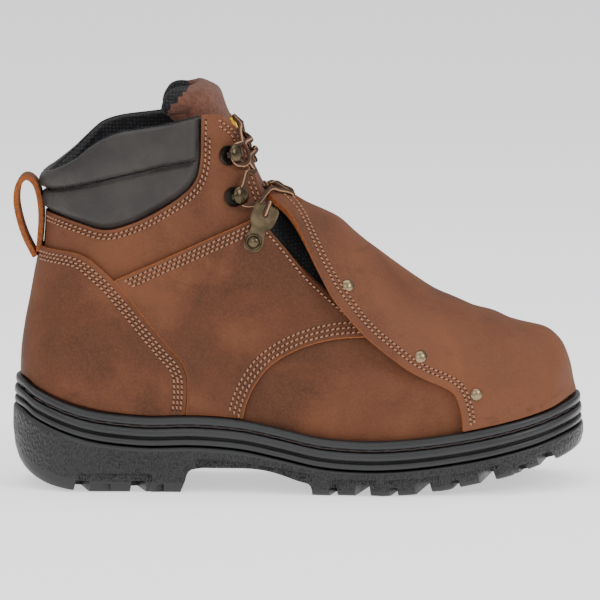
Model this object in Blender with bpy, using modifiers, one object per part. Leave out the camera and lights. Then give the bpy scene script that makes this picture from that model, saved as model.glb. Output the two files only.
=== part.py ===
"""Metatarsal guard work boot, right foot, built as an assembly of separate pieces.

X runs from the heel to the toe, Y to the medial side of the right foot, Z up from the floor.
All lines of the boot are drawn in the side view and are shares of the driving sizes below.
"""

import math

import bmesh
import bpy
import numpy as np
from mathutils import Matrix, Vector
from mathutils.geometry import delaunay_2d_cdt

# Driving sizes, in metres
LENGTH = 0.310
BALL_WIDTH = 0.099
HEEL_HEIGHT = 0.041
SHAFT_HEIGHT = 0.164
COLLAR_WIDTH = 0.080
LEATHER = 0.0024
OVERLAY = 0.0016
COUNTER = 0.0020
FLAP = 0.0034
COLLAR_PAD = 0.0075
TONGUE = 0.0065
INSOLE = 0.0040
GAP = 0.0003
TONGUE_LAY = 0.0038
WELT_MARGIN = 0.0052
WELT_HEIGHT = 0.0058
MIDSOLE_HEIGHT = 0.0090
ARCH_HEIGHT = 0.0135
GROOVE_WIDTH = 0.0076
GROOVE_DEPTH = 0.0062
NOTCH_WIDTH = 0.0033
NOTCH_DEPTH = 0.0028
RIVET_RADIUS = 0.0040
HOOK_RADIUS = 0.0052
LACE_RADIUS = 0.0013
LOOP_WIDTH = 0.0200
LOOP_STRAP = 0.0030

LATERAL, MEDIAL = -1, 1

# Grid sizes of the shells and stations along the sole
COLUMNS = 20
ROWS = 14
STATIONS = 26

# station (share of LENGTH), welt top edge above the floor (share of HEEL_HEIGHT)
WELT_LINE = (
    (-0.02, 1.50), (0.016, 1.46), (0.042, 1.34), (0.087, 1.20), (0.131, 1.10), (0.176, 1.04), (0.24, 1.00),
    (0.32, 1.01), (0.40, 0.97), (0.47, 0.87), (0.54, 0.76), (0.62, 0.725), (0.70, 0.75), (0.78, 0.82),
    (0.85, 0.91), (0.92, 1.03), (0.98, 1.17), (1.02, 1.26),
)
# station, foot bed under the insole (share of HEEL_HEIGHT)
SEAT_LINE = (
    (-0.02, 1.06), (0.03, 1.00), (0.10, 0.90), (0.20, 0.83), (0.35, 0.81), (0.45, 0.72), (0.55, 0.60),
    (0.66, 0.56), (0.78, 0.64), (0.90, 0.80), (1.02, 1.02),
)
# station, underside above the floor (share of HEEL_HEIGHT): heel bevel, flats and toe spring
TREAD_LINE = (
    (-0.03, 0.66), (0.0, 0.46), (0.012, 0.33), (0.030, 0.21), (0.055, 0.11), (0.085, 0.045), (0.12, 0.01), (0.15, 0.0),
    (0.30, 0.0), (0.50, 0.0), (0.67, 0.0), (0.73, 0.04), (0.80, 0.12), (0.87, 0.23), (0.93, 0.35), (0.98, 0.47),
    (1.03, 0.62),
)
# station, lateral and medial half width of the upper at the feather edge (shares of BALL_WIDTH)
PLAN = (
    (0.00, 0.340, 0.340),
    (0.15, 0.350, 0.355),
    (0.29, 0.355, 0.325),
    (0.40, 0.390, 0.305),
    (0.51, 0.450, 0.350),
    (0.62, 0.500, 0.435),
    (0.70, 0.495, 0.490),
    (0.79, 0.460, 0.505),
    (0.87, 0.415, 0.500),
    (1.00, 0.360, 0.480),
)
# Lines in the side view: station (share of LENGTH), height above HEEL_HEIGHT (share of SHAFT_HEIGHT)
BACK_LINE = (
    (0.0215, -0.10), (0.0200, 0.00), (0.0190, 0.06), (0.0195, 0.13), (0.0215, 0.207), (0.0280, 0.293), (0.0370, 0.378),
    (0.0450, 0.462), (0.0510, 0.520), (0.0550, 0.590), (0.0570, 0.665), (0.0570, 0.740), (0.0620, 0.815),
)
DORSAL_LINE = (
    (0.9825, -0.08), (0.9830, 0.00), (0.9795, 0.050), (0.9740, 0.090), (0.9665, 0.147), (0.9570, 0.183), (0.9400, 0.215),
    (0.9140, 0.236), (0.8800, 0.252), (0.8620, 0.263), (0.8360, 0.290), (0.8000, 0.314), (0.7730, 0.333), (0.7400, 0.359), (0.7000, 0.388), (0.6500, 0.437), (0.6000, 0.493),
    (0.5500, 0.556), (0.5100, 0.617), (0.4800, 0.680), (0.4600, 0.735), (0.4450, 0.790), (0.4290, 0.860),
    (0.4150, 0.930), (0.4030, 1.000), (0.3900, 1.075), (0.3780, 1.155), (0.3700, 1.230),
)
COLLAR_LINE = (
    (0.0620, 0.815), (0.0950, 0.857), (0.1410, 0.922), (0.1850, 0.953), (0.2600, 0.972), (0.3330, 0.998), (0.3700, 0.998),
    (0.4030, 1.000),
)
SCOOP_LINE = (
    (0.0560, 0.665), (0.0800, 0.658), (0.1150, 0.640), (0.1650, 0.616), (0.2110, 0.637), (0.2560, 0.678), (0.2990, 0.732),
    (0.3220, 0.780), (0.3310, 0.840), (0.3325, 0.920), (0.3330, 0.985),
)
THROAT_LINE = (
    (0.3900, 1.060), (0.3930, 0.990), (0.4020, 0.930), (0.4150, 0.840), (0.4240, 0.760), (0.4300, 0.680), (0.4400, 0.625),
    (0.4700, 0.565), (0.5100, 0.487), (0.5500, 0.418), (0.5950, 0.352), (0.6400, 0.290), (0.6650, 0.265), (0.6900, 0.270),
    (0.7150, 0.310), (0.7350, 0.380), (0.7500, 0.470),
)
FLAP_RIDGE = (
    (0.9960, -0.060), (0.9965, 0.000), (0.9950, 0.040), (0.9890, 0.085), (0.9817, 0.150), (0.9717, 0.192), (0.9592, 0.216),
    (0.9314, 0.237), (0.8981, 0.252), (0.8796, 0.261), (0.8643, 0.271), (0.8376, 0.298), (0.8000, 0.321), (0.7489, 0.361),
    (0.6985, 0.418), (0.6484, 0.485), (0.6021, 0.556), (0.5723, 0.607), (0.5529, 0.628), (0.5162, 0.657), (0.4826, 0.692),
    (0.4470, 0.728),
)
FLAP_EDGE = (
    (0.7850, -0.050), (0.7840, 0.000), (0.7780, 0.053), (0.7640, 0.094), (0.7144, 0.136), (0.6750, 0.180), (0.6150, 0.272),
    (0.5670, 0.378), (0.5375, 0.470), (0.5112, 0.553), (0.4817, 0.636), (0.4449, 0.704),
)
# The tongue's ridge curls back above the eyestay; its edge runs behind the eyestay and round the top
TONGUE_RIDGE = (
    (0.6500, 0.437), (0.6000, 0.493), (0.5500, 0.556), (0.5100, 0.617), (0.4800, 0.680), (0.4600, 0.735), (0.4450, 0.790),
    (0.4290, 0.860), (0.4150, 0.930), (0.4030, 0.985), (0.3880, 1.030), (0.3700, 1.073), (0.3450, 1.098), (0.3300, 1.106),
)
TONGUE_EDGE = (
    (0.6300, 0.300), (0.5900, 0.345), (0.5400, 0.410), (0.4900, 0.485), (0.4400, 0.560), (0.3980, 0.650), (0.3720, 0.750),
    (0.3560, 0.850), (0.3480, 0.930), (0.3460, 0.990), (0.3250, 1.025), (0.2850, 1.045), (0.2740, 1.062), (0.2780, 1.078),
)
COUNTER_TOP = (
    (0.0450, 0.515), (0.0900, 0.512), (0.1300, 0.508), (0.1600, 0.480), (0.2200, 0.407), (0.2750, 0.335), (0.3020, 0.262),
)
COUNTER_FRONT = ((0.3000, -0.04), (0.3030, 0.02), (0.3080, 0.11), (0.3080, 0.19), (0.3020, 0.262))
# The quarter overlay, drawn anticlockwise from its lower rear corner
QUARTER_OUTLINE = (
    (0.3040, -0.02), (0.3500, 0.00), (0.4050, -0.015), (0.4110, 0.040), (0.4250, 0.100), (0.4480, 0.160), (0.4800, 0.205),
    (0.5200, 0.240), (0.5700, 0.262), (0.6300, 0.267), (0.6000, 0.325), (0.5600, 0.387), (0.5150, 0.460), (0.4750, 0.536),
    (0.4420, 0.602), (0.4180, 0.592), (0.3700, 0.548), (0.3200, 0.508), (0.2650, 0.468), (0.2050, 0.440), (0.2300, 0.407),
    (0.2830, 0.337), (0.3100, 0.270), (0.3150, 0.190), (0.3150, 0.110), (0.3100, 0.03),
)
# height of the shaft (share of SHAFT_HEIGHT), half width (share of COLLAR_WIDTH)
SHAFT_WIDTHS = (
    (0.0, 0.440), (0.20, 0.428), (0.38, 0.412), (0.50, 0.412), (0.62, 0.435), (0.78, 0.475), (0.90, 0.492), (1.0, 0.500),
    (1.3, 0.500),
)
# station, depth over which the instep or toe rounds over to the dorsal line (share of SHAFT_HEIGHT)
CROWN_DEPTHS = (
    (0.36, 0.10), (0.40, 0.16), (0.44, 0.26), (0.50, 0.40), (0.58, 0.45), (0.66, 0.40), (0.75, 0.31), (0.86, 0.25),
    (1.0, 0.23),
)
# Roundness of the plan at heel, shaft front and toe, as shares of LENGTH
HEEL_ROUND = 0.120
SHAFT_FRONT_ROUND = 0.135
TOE_ROUND = 0.172

# station and height of the flap's rivets, and of the hooks and lace clips on each side
RIVETS = ((0.583, 0.426), (0.7105, 0.200), (0.8080, 0.080))
HOOKS = ((0.381, 0.870), (0.391, 0.735))
CLIP = (0.423, 0.582)

# Stations of the deep side grooves and of the small notches between them
GROOVES = (0.128, 0.227, 0.620, 0.727, 0.836, 0.932)
NOTCHES = (0.180, 0.272, 0.560, 0.668, 0.775, 0.888)


class Line:
    """A smooth curve through hand-chosen points, sampled once and read by share of length, x or z."""

    def __init__(self, points, steps=24):
        p = np.array([(x * LENGTH, v) for x, v in points], float)
        ends = np.vstack([2 * p[0] - p[1], p, 2 * p[-1] - p[-2]])
        t = np.linspace(0, 1, steps, endpoint=False)[:, None]
        spans = []
        for a, b, c, d in zip(ends, ends[1:], ends[2:], ends[3:]):
            spans.append(
                0.5 * (2 * b + (c - a) * t + (2 * a - 5 * b + 4 * c - d) * t**2 + (3 * b - a - 3 * c + d) * t**3)
            )
        self.samples = np.vstack([*spans, p[-1]])

    def scaled(self, low, unit):
        """The same line with its heights turned from shares into metres."""
        made = Line.__new__(Line)
        made.samples = self.samples * (1, unit) + (0, low)
        return made

    def at(self, share):
        steps = np.linalg.norm(np.diff(self.samples, axis=0), axis=1)
        run = np.concatenate([[0], np.cumsum(steps)])
        where = np.asarray(share) * run[-1]
        return np.stack([np.interp(where, run, self.samples[:, k]) for k in (0, 1)], -1)

    def z_at(self, x):
        order = np.argsort(self.samples[:, 0])
        return np.interp(x, self.samples[order, 0], self.samples[order, 1])

    def x_at(self, z):
        order = np.argsort(self.samples[:, 1])
        return np.interp(z, self.samples[order, 1], self.samples[order, 0])


def sole_line(points):
    return Line(points).scaled(0, HEEL_HEIGHT)


def side_line(points):
    return Line(points).scaled(HEEL_HEIGHT, SHAFT_HEIGHT)


def height(share):
    return HEEL_HEIGHT + share * SHAFT_HEIGHT


WELT = sole_line(WELT_LINE)
SEAT = sole_line(SEAT_LINE)
TREAD = sole_line(TREAD_LINE)
TREAD.samples[:, 1] = np.maximum(TREAD.samples[:, 1], 0)
BACK = side_line(BACK_LINE)
DORSAL = side_line(DORSAL_LINE)
RIDGE = side_line(FLAP_RIDGE)
LATERAL_HALF = Line([(x, lateral) for x, lateral, _ in PLAN]).scaled(0, BALL_WIDTH)
MEDIAL_HALF = Line([(x, medial) for x, _, medial in PLAN]).scaled(0, BALL_WIDTH)
CROWN = Line(CROWN_DEPTHS).scaled(0, SHAFT_HEIGHT)
SHAFT_HALF = np.array(SHAFT_WIDTHS)


def smooth_step(value, low, high):
    t = np.clip((value - low) / (high - low), 0, 1)
    return t * t * (3 - 2 * t)


def rounding(depth, power):
    """0 on a silhouette, rising to 1 where the depth reaches 1, as a superellipse does."""
    inside = np.clip(depth, 0, 1)
    return (1 - (1 - inside) ** power) ** (1 / power)


def centre(x):
    """The line on which the two sides meet: it bends to the big toe."""
    tip = (MEDIAL_HALF.z_at(LENGTH) - LATERAL_HALF.z_at(LENGTH)) / 2
    return tip * smooth_step(x, 0.40 * LENGTH, 0.95 * LENGTH)


def half_width(x, z, side, dorsal=DORSAL):
    """Distance of the upper's surface from the centre line, at a point of the side view."""
    foot = (MEDIAL_HALF if side == MEDIAL else LATERAL_HALF).z_at(x) - side * centre(x)
    shaft = np.interp((z - HEEL_HEIGHT) / SHAFT_HEIGHT, SHAFT_HALF[:, 0], SHAFT_HALF[:, 1]) * COLLAR_WIDTH
    climb = smooth_step(z, height(0.0), height(0.50)) * (1 - smooth_step(x, 0.40 * LENGTH, 0.60 * LENGTH))
    full = foot + (shaft - foot) * climb
    tuck = np.clip((z - WELT.z_at(x)) / (0.10 * SHAFT_HEIGHT), 0, 1)
    full = full * (1 - 0.018 * (1 - tuck) ** 2)
    nose = LENGTH * (TOE_ROUND + (SHAFT_FRONT_ROUND - TOE_ROUND) * smooth_step(z, height(0.35), height(0.65)))
    ends = (
        rounding((x - BACK.x_at(z)) / (HEEL_ROUND * LENGTH), 2.15),
        rounding((dorsal.x_at(z) - x) / nose, 2.35),
        rounding((dorsal.z_at(x) - z) / CROWN.z_at(x), 2.30),
    )
    total = 1.0
    for e in ends:
        total = total + np.maximum(e, 1e-6) ** -5.0 - 1
    return full * total**-0.2


def surface(x, z, side, dorsal=DORSAL):
    """A point of the boot's outer surface, from its place in the side view."""
    return np.array([x, centre(x) + side * half_width(x, z, side, dorsal), z], float)


def surface_normal(x, z, side, dorsal=DORSAL):
    step = 0.001
    across = surface(x + step, z, side, dorsal) - surface(x - step, z, side, dorsal)
    up = surface(x, z + step, side, dorsal) - surface(x, z - step, side, dorsal)
    n = np.cross(up, across) * side
    return n / np.linalg.norm(n)


def on_boot(place, side, out=0.0, dorsal=DORSAL):
    """The point over a station and height share, held out from the surface, and the normal there."""
    x, z = place[0] * LENGTH, height(place[1])
    n = surface_normal(x, z, side, dorsal)
    return surface(x, z, side, dorsal) + n * out, n


def patch(bottom, top, left, right, columns, rows, spread=None):
    """A grid of side-view points between four lines, rows from bottom to top."""
    s = np.linspace(0, 1, columns + 1) if spread is None else spread
    t = np.linspace(0, 1, rows + 1)
    low, high, start, end = bottom.at(s), top.at(s), left.at(t), right.at(t)
    grid = np.empty((rows + 1, len(s), 2))
    for j, v in enumerate(t):
        for i, u in enumerate(s):
            corners = (
                (1 - u) * (1 - v) * low[0] + u * (1 - v) * low[-1] + (1 - u) * v * high[0] + u * v * high[-1]
            )
            grid[j, i] = (1 - v) * low[i] + v * high[i] + (1 - u) * start[j] + u * end[j] - corners
    return grid


def both_ends(count):
    """Column places that crowd towards both ends, where the surface turns."""
    return (1 - np.cos(math.pi * np.linspace(0, 1, count + 1))) / 2


def one_end(count, last):
    """Column places that crowd towards one end only."""
    t = np.linspace(0, 1, count + 1)
    return np.sin(t * math.pi / 2) if last else 1 - np.cos(t * math.pi / 2)


def wrap(grid, dorsal=DORSAL, join_first=False, join_last=False):
    """Both sides of a side-view grid as one run of columns in space, joined on the centre line."""
    sides = []
    for side in (LATERAL, MEDIAL):
        points = surface(grid[..., 0], grid[..., 1], side, dorsal)
        points = np.moveaxis(points, 0, -1)
        for joined, column in ((join_first, 0), (join_last, -1)):
            if joined:
                points[:, column, 1] = centre(points[:, column, 0])
        sides.append(points)
    lateral, medial = sides
    if join_first and join_last:
        return np.concatenate([lateral, medial[:, -2:0:-1]], axis=1), True
    if join_last:
        return np.concatenate([lateral, medial[:, -2::-1]], axis=1), False
    return np.concatenate([medial[:, ::-1], lateral[:, 1:]], axis=1), False


def grid_normals(points, closed):
    """Directions in which to offset the grid, scaled so that its faces move by the distance asked for."""
    padded = np.concatenate([points, points[:, :1]], axis=1) if closed else points
    quads = np.cross(
        padded[1:, 1:] - padded[:-1, :-1],
        padded[1:, :-1] - padded[:-1, 1:],
    )
    quads /= np.maximum(np.linalg.norm(quads, axis=2, keepdims=True), 1e-12)
    rows, columns = points.shape[:2]
    total, count = np.zeros((rows, columns, 3)), np.zeros((rows, columns, 1))
    for down in (0, 1):
        for along in (0, 1):
            i = np.arange(quads.shape[0])[:, None] + down
            j = (np.arange(quads.shape[1])[None, :] + along) % columns
            total[i, j] += quads
            count[i, j] += 1
    mean = total / count
    return mean / np.maximum((mean**2).sum(axis=2, keepdims=True), 0.5)


def paint(name, colour, roughness, metallic=0.0):
    made = bpy.data.materials.new(name)
    made.use_nodes = True
    shader = made.node_tree.nodes["Principled BSDF"]
    shader.inputs["Base Color"].default_value = (*colour, 1)
    shader.inputs["Roughness"].default_value = roughness
    shader.inputs["Metallic"].default_value = metallic
    return made


def mesh_object(name, vertices, faces, material, collection):
    mesh = bpy.data.meshes.new(name)
    mesh.from_pydata([tuple(v) for v in vertices], [], faces)
    mesh.validate()
    mesh.shade_smooth()
    made = bpy.data.objects.new(name, mesh)
    mesh.materials.append(material)
    collection.objects.link(made)
    return made


def thicken(made, wall):
    """Gives an open surface its wall, on the inner side of its faces."""
    solid = made.modifiers.new("Wall", "SOLIDIFY")
    solid.thickness = wall
    solid.offset = -1
    solid.use_even_offset = True
    solid.use_rim = True
    return made


def skin(name, points, closed, wall, material, collection):
    """One shell from a grid of points in space, with its wall inside."""
    rows, columns = points.shape[:2]
    span = columns if closed else columns - 1
    faces = []
    for j in range(rows - 1):
        for i in range(span):
            k = (i + 1) % columns
            faces.append((j * columns + i, j * columns + k, (j + 1) * columns + k, (j + 1) * columns + i))
    return thicken(mesh_object(name, points.reshape(-1, 3), faces, material, collection), wall)


def panel(name, outline, side, out, wall, cell, material, collection):
    """A flat-cut overlay laid on one side of the boot, from its outline in the side view."""
    edge = np.array([(x * LENGTH, height(v)) for x, v in outline])
    edge[:, 1] = np.maximum(edge[:, 1], over_welt(edge[:, 0]))
    inner = [
        (x, z)
        for x in np.arange(edge[:, 0].min(), edge[:, 0].max(), cell)
        for z in np.arange(edge[:, 1].min(), edge[:, 1].max(), cell)
        if depth_inside(edge, x, z) > 0.5 * cell
    ]
    flat = [Vector(p) for p in [*edge, *inner]]
    around = [(i, (i + 1) % len(edge)) for i in range(len(edge))]
    flat, _, faces, *_ = delaunay_2d_cdt(flat, around, [list(range(len(edge)))], 1, 1e-6)
    points = [surface(v.x, v.y, side) + surface_normal(v.x, v.y, side) * (out + wall) for v in flat]
    if side == MEDIAL:
        faces = [tuple(reversed(f)) for f in faces]
    return thicken(mesh_object(name, points, faces, material, collection), wall)


def depth_inside(edge, x, z):
    """Distance from the outline to a point inside it, or a negative number outside."""
    inside, nearest = False, math.inf
    for (ax, az), (bx, bz) in zip(edge, np.roll(edge, -1, axis=0)):
        if (az > z) != (bz > z) and x < (bx - ax) * (z - az) / (bz - az) + ax:
            inside = not inside
        run = max((bx - ax) ** 2 + (bz - az) ** 2, 1e-12)
        t = min(1.0, max(0.0, ((x - ax) * (bx - ax) + (z - az) * (bz - az)) / run))
        nearest = min(nearest, math.hypot(x - ax - t * (bx - ax), z - az - t * (bz - az)))
    return nearest if inside else -nearest


def extruded(name, outline, reach, collection):
    """A cutter: a side-view outline carried right across the boot."""
    count = len(outline)
    vertices = [(x, side * reach, z) for side in (LATERAL, MEDIAL) for x, z in outline]
    faces = [tuple(range(count)), tuple(reversed(range(count, 2 * count)))]
    faces += [(k, count + k, count + (k + 1) % count, (k + 1) % count) for k in range(count)]
    made = mesh_object(name, vertices, faces, MATERIALS["leather"], collection)
    shape = bmesh.new()
    shape.from_mesh(made.data)
    bmesh.ops.recalc_face_normals(shape, faces=shape.faces)
    shape.to_mesh(made.data)
    shape.free()
    return as_cutter(made)


def as_cutter(made):
    made.hide_render = True
    made.display_type = "WIRE"
    return made


def cut(made, cutter, operation="DIFFERENCE"):
    boolean = made.modifiers.new(cutter.name, "BOOLEAN")
    boolean.object = cutter
    boolean.operation = operation
    boolean.solver = "EXACT"
    return made


def applied(made):
    """Replaces the object's mesh by what its modifiers make of it."""
    bpy.context.view_layer.update()
    mesh = bpy.data.meshes.new_from_object(made.evaluated_get(bpy.context.evaluated_depsgraph_get()))
    made.modifiers.clear()
    made.data = mesh
    return made


def sole_outline(out, stations):
    """The plan of the sole: lateral side heel to toe, then medial side back, as (x, y) pairs."""
    low = BACK.x_at(height(0.0))
    high = DORSAL.x_at(height(0.0))
    x = low + (high - low) * both_ends(stations)
    rim = []
    for side in (LATERAL, MEDIAL):
        nose = rounding((x - low) / (HEEL_ROUND * LENGTH), 2.15) * rounding((high - x) / (TOE_ROUND * LENGTH), 2.35)
        half = ((MEDIAL_HALF if side == MEDIAL else LATERAL_HALF).z_at(x) - side * centre(x)) * nose
        rim.append(np.stack([x, centre(x) + side * half], -1))
    ring = np.concatenate([rim[0], rim[1][-2:0:-1]])
    along = np.roll(ring, -1, 0) - np.roll(ring, 1, 0)
    normals = np.stack([along[:, 1], -along[:, 0]], -1)
    normals /= np.linalg.norm(normals, axis=1, keepdims=True)
    return ring + normals * out


def plate(name, levels, seat, material, collection, stations=STATIONS):
    """A layer of the sole. Levels run from the bottom: (distance out from the upper, height function)."""
    rings = []
    for out, top in levels:
        ring = sole_outline(out, stations)
        rings.append(np.column_stack([ring, top(ring[:, 0])]))
    count = len(rings[0])
    if seat is not None:
        inner = sole_outline(-0.0036, stations)
        rings.append(np.column_stack([inner, seat(inner[:, 0])]))
    vertices = np.concatenate(rings)
    faces = []
    for level in range(len(rings) - 1):
        for i in range(count):
            k = (i + 1) % count
            a, b = level * count, (level + 1) * count
            faces.append((a + i, a + k, b + k, b + i))
    for base, flip in ((0, True), ((len(rings) - 1) * count, False)):
        for i in range(stations):
            ids = [base + i, base + i + 1, base + (count - i - 1) % count, base + (count - i) % count]
            ids = list(dict.fromkeys(ids))
            faces.append(tuple(reversed(ids)) if flip else tuple(ids))
    return mesh_object(name, vertices, faces, material, collection)


def below_welt(depth):
    return lambda x: WELT.z_at(x) - depth


def above_tread(lift):
    return lambda x: TREAD.z_at(x) + lift


def make_midsole(parts):
    """The rubber body with two ribs round its side and a foot bed let into its top."""
    top, low = WELT_HEIGHT + 3 * GAP, WELT_HEIGHT + 3 * GAP + MIDSOLE_HEIGHT
    rib, groove = WELT_MARGIN + 0.0004, WELT_MARGIN - 0.0014
    share = MIDSOLE_HEIGHT
    levels = [
        (rib - 0.0006, below_welt(low)),
        (rib + 0.0003, below_welt(low - 0.18 * share)),
        (rib - 0.0003, below_welt(low - 0.34 * share)),
        (groove, below_welt(low - 0.40 * share)),
        (groove, below_welt(low - 0.48 * share)),
        (rib, below_welt(low - 0.56 * share)),
        (rib, below_welt(top + 0.10 * share)),
        (rib - 0.0008, below_welt(top)),
        (-0.0030, below_welt(top)),
    ]
    return plate("midsole", levels, SEAT.z_at, MATERIALS["rubber"], parts)


def make_outsole(parts, helpers):
    """The lugged bottom: side wall that swells out, heel, arch, toe spring and the side grooves."""
    top = WELT_HEIGHT + MIDSOLE_HEIGHT + 6 * GAP
    wall = WELT_MARGIN + 0.0006
    levels = [
        (wall - 0.0022, above_tread(0)),
        (wall + 0.0002, above_tread(0.0028)),
        (wall + 0.0012, lambda x: TREAD.z_at(x) + 0.5 * (WELT.z_at(x) - top - TREAD.z_at(x))),
        (wall + 0.0010, below_welt(top + 0.0022)),
        (wall - 0.0004, below_welt(top)),
    ]
    made = plate("outsole", levels, None, MATERIALS["rubber"], parts)
    arch = [
        (0.302, -0.3), (0.306, 0.80), (0.322, 0.98), (0.36, 1.0), (0.42, 1.0), (0.46, 0.86), (0.50, 0.56), (0.522, 0.38),
        (0.526, -0.3),
    ]
    cut(made, extruded("arch_cutter", [(x * LENGTH, v * ARCH_HEIGHT) for x, v in arch], BALL_WIDTH, helpers))
    for k, station in enumerate(GROOVES):
        inner = 0.16 if station < 0.3 else 0.20
        for side in (LATERAL, MEDIAL):
            groove_cutter(made, f"groove_{k}_{side + 1}", station, side, GROOVE_WIDTH, GROOVE_DEPTH, inner, helpers)
    for k, station in enumerate(NOTCHES):
        for side in (LATERAL, MEDIAL):
            groove_cutter(made, f"notch_{k}_{side + 1}", station, side, NOTCH_WIDTH, NOTCH_DEPTH, 0.38, helpers)
    return applied(made)


def groove_cutter(made, name, station, side, width, depth, inner, helpers):
    """Cuts one tread groove from the sole's side in towards its middle."""
    x = station * LENGTH
    near, far = inner * BALL_WIDTH, 0.75 * BALL_WIDTH
    bpy.ops.mesh.primitive_cube_add(size=1)
    box = bpy.context.object
    box.name = name
    slope = math.atan2(TREAD.z_at(x + 0.004) - TREAD.z_at(x - 0.004), 0.008)
    slant = math.radians(14) * side * (-1 if station < 0.3 else 1)
    box.scale = (width, far - near, 2 * depth)
    middle = centre(x) + side * (near + far) / 2
    box.location = (x, middle, TREAD.z_at(x))
    box.rotation_euler = Matrix.Rotation(slant, 3, "Z").to_euler()
    box.rotation_euler.y = -slope
    move_to(box, helpers)
    cut(made, as_cutter(box))


def move_to(made, collection):
    for old in list(made.users_collection):
        old.objects.unlink(made)
    collection.objects.link(made)


def make_welt(parts):
    """The ring round the upper's lower edge, its top edge rounded off outwards."""
    stations = STATIONS
    low, high = WELT_HEIGHT, 0.0
    profile = [
        (2 * GAP, low), (WELT_MARGIN - 0.0016, low), (WELT_MARGIN - 0.0006, 0.86 * low), (WELT_MARGIN, 0.66 * low),
        (WELT_MARGIN, 0.28 * low), (WELT_MARGIN - 0.0012, high), (2 * GAP, high),
    ]
    rings = []
    for out, depth in profile:
        ring = sole_outline(out, stations)
        rings.append(np.column_stack([ring, WELT.z_at(ring[:, 0]) - depth]))
    count = len(rings[0])
    faces = []
    for level in range(len(rings)):
        for i in range(count):
            k, up = (i + 1) % count, (level + 1) % len(rings)
            faces.append((level * count + i, level * count + k, up * count + k, up * count + i))
    return mesh_object("welt", np.concatenate(rings), faces, MATERIALS["rubber"], parts)


def make_insole(parts):
    """The foot bed, a lens of foam that follows the seat and stops short of the upper's wall."""
    inset = -(LEATHER + 0.0022)
    levels = [
        (inset - 0.0012, lambda x: SEAT.z_at(x) + GAP),
        (inset, lambda x: SEAT.z_at(x) + GAP + 0.45 * INSOLE),
        (inset - 0.0002, lambda x: SEAT.z_at(x) + GAP + 0.75 * INSOLE),
        (inset - 0.0025, lambda x: SEAT.z_at(x) + GAP + INSOLE),
    ]
    return plate("insole", levels, None, MATERIALS["lining"], parts, stations=22)


def over_welt(x):
    """Height at which an overlay ends, clear of the welt on either side of it."""
    return np.maximum(WELT.z_at(x - 0.0035), WELT.z_at(x + 0.0035)) + 2 * GAP


def upper_bottom():
    x = np.linspace(BACK.x_at(height(0.0)), DORSAL.x_at(height(0.0)), 60)
    made = Line([(0, 0), (1, 0)])
    made.samples = np.stack([x, WELT.z_at(x) - WELT_HEIGHT + GAP], -1)
    return made


def clipped(line, low_z=None, high_z=None, low_x=None, high_x=None):
    """The part of a line between two heights or two stations, with its end points worked out."""
    p = line.samples
    axis, low, high = (1, low_z, high_z) if low_z is not None else (0, low_x, high_x)
    if p[0, axis] > p[-1, axis]:
        p = p[::-1]
    other = 1 - axis
    inside = p[(p[:, axis] > low) & (p[:, axis] < high)]
    ends = []
    for value in (low, high):
        end = np.empty(2)
        end[axis], end[other] = value, np.interp(value, p[:, axis], p[:, other])
        ends.append(end)
    made = Line.__new__(Line)
    made.samples = np.vstack([ends[0], inside, ends[1]])
    return made


def make_upper(parts, helpers):
    """Vamp, shaft and eyestay in one hollow shell, open below, at the collar scoop and down the throat."""
    bottom, collar = upper_bottom(), side_line(COLLAR_LINE)
    left = clipped(BACK, low_z=bottom.samples[0, 1], high_z=collar.samples[0, 1])
    right = clipped(DORSAL, low_z=bottom.samples[-1, 1], high_z=collar.samples[-1, 1])
    grid = patch(bottom, collar, left, right, COLUMNS, ROWS, both_ends(COLUMNS))
    points, closed = wrap(grid, join_first=True, join_last=True)
    made = skin("upper", points, closed, LEATHER, MATERIALS["leather"], parts)
    scoop = side_line(SCOOP_LINE).at(np.linspace(0, 1, 20))
    window = [(-0.1 * LENGTH, scoop[0][1]), *map(tuple, scoop), (scoop[-1][0], 2 * height(1)), (-0.1 * LENGTH, 2 * height(1))]
    cut(made, extruded("scoop_cutter", window, BALL_WIDTH, helpers))
    throat = side_line(THROAT_LINE).at(np.linspace(0, 1, 24))
    slit = [*map(tuple, throat), (throat[-1][0], 2 * height(1)), (throat[0][0], 2 * height(1))]
    cut(made, extruded("throat_cutter", slit, BALL_WIDTH, helpers))
    return applied(made)


def make_collar_pad(parts):
    """The stuffed collar: two rolls of foam above the scooped edge of the leather, open at the front."""
    scoop, collar = side_line(SCOOP_LINE), side_line(COLLAR_LINE)
    inset = GAP / LENGTH
    corner = 0.780
    bottom = clipped(scoop, low_x=scoop.samples[0, 0], high_x=scoop.x_at(height(corner)))
    bottom.samples = bottom.samples + (0, 2 * GAP)
    top = clipped(collar, low_x=collar.samples[0, 0], high_x=(0.3300 - inset) * LENGTH)
    left = clipped(BACK, low_z=bottom.samples[0, 1], high_z=top.samples[0, 1])
    right = side_line(((bottom.samples[-1, 0] / LENGTH - 2 * inset, corner), (0.3290, 0.860), (0.3305 - inset, 0.998)))
    right.samples[0], right.samples[-1] = bottom.samples[-1], top.samples[-1]
    rows, columns = 9, 12
    grid = patch(bottom, top, left, right, columns, rows, one_end(columns, last=False))
    points, _ = wrap(grid, join_first=True)
    share = np.linspace(0, 1, rows + 1)[:, None, None]
    roll = np.abs(np.sin(math.pi * np.clip(share * 2.0, 0, 2))) ** 0.6
    fade = 1 - smooth_step(np.abs(np.linspace(-1, 1, points.shape[1])), 0.90, 1.0)[None, :, None]
    points = points + grid_normals(points, False) * 0.0030 * roll * fade
    return skin("collar_pad", points, False, COLLAR_PAD, MATERIALS["pad"], parts)


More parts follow.
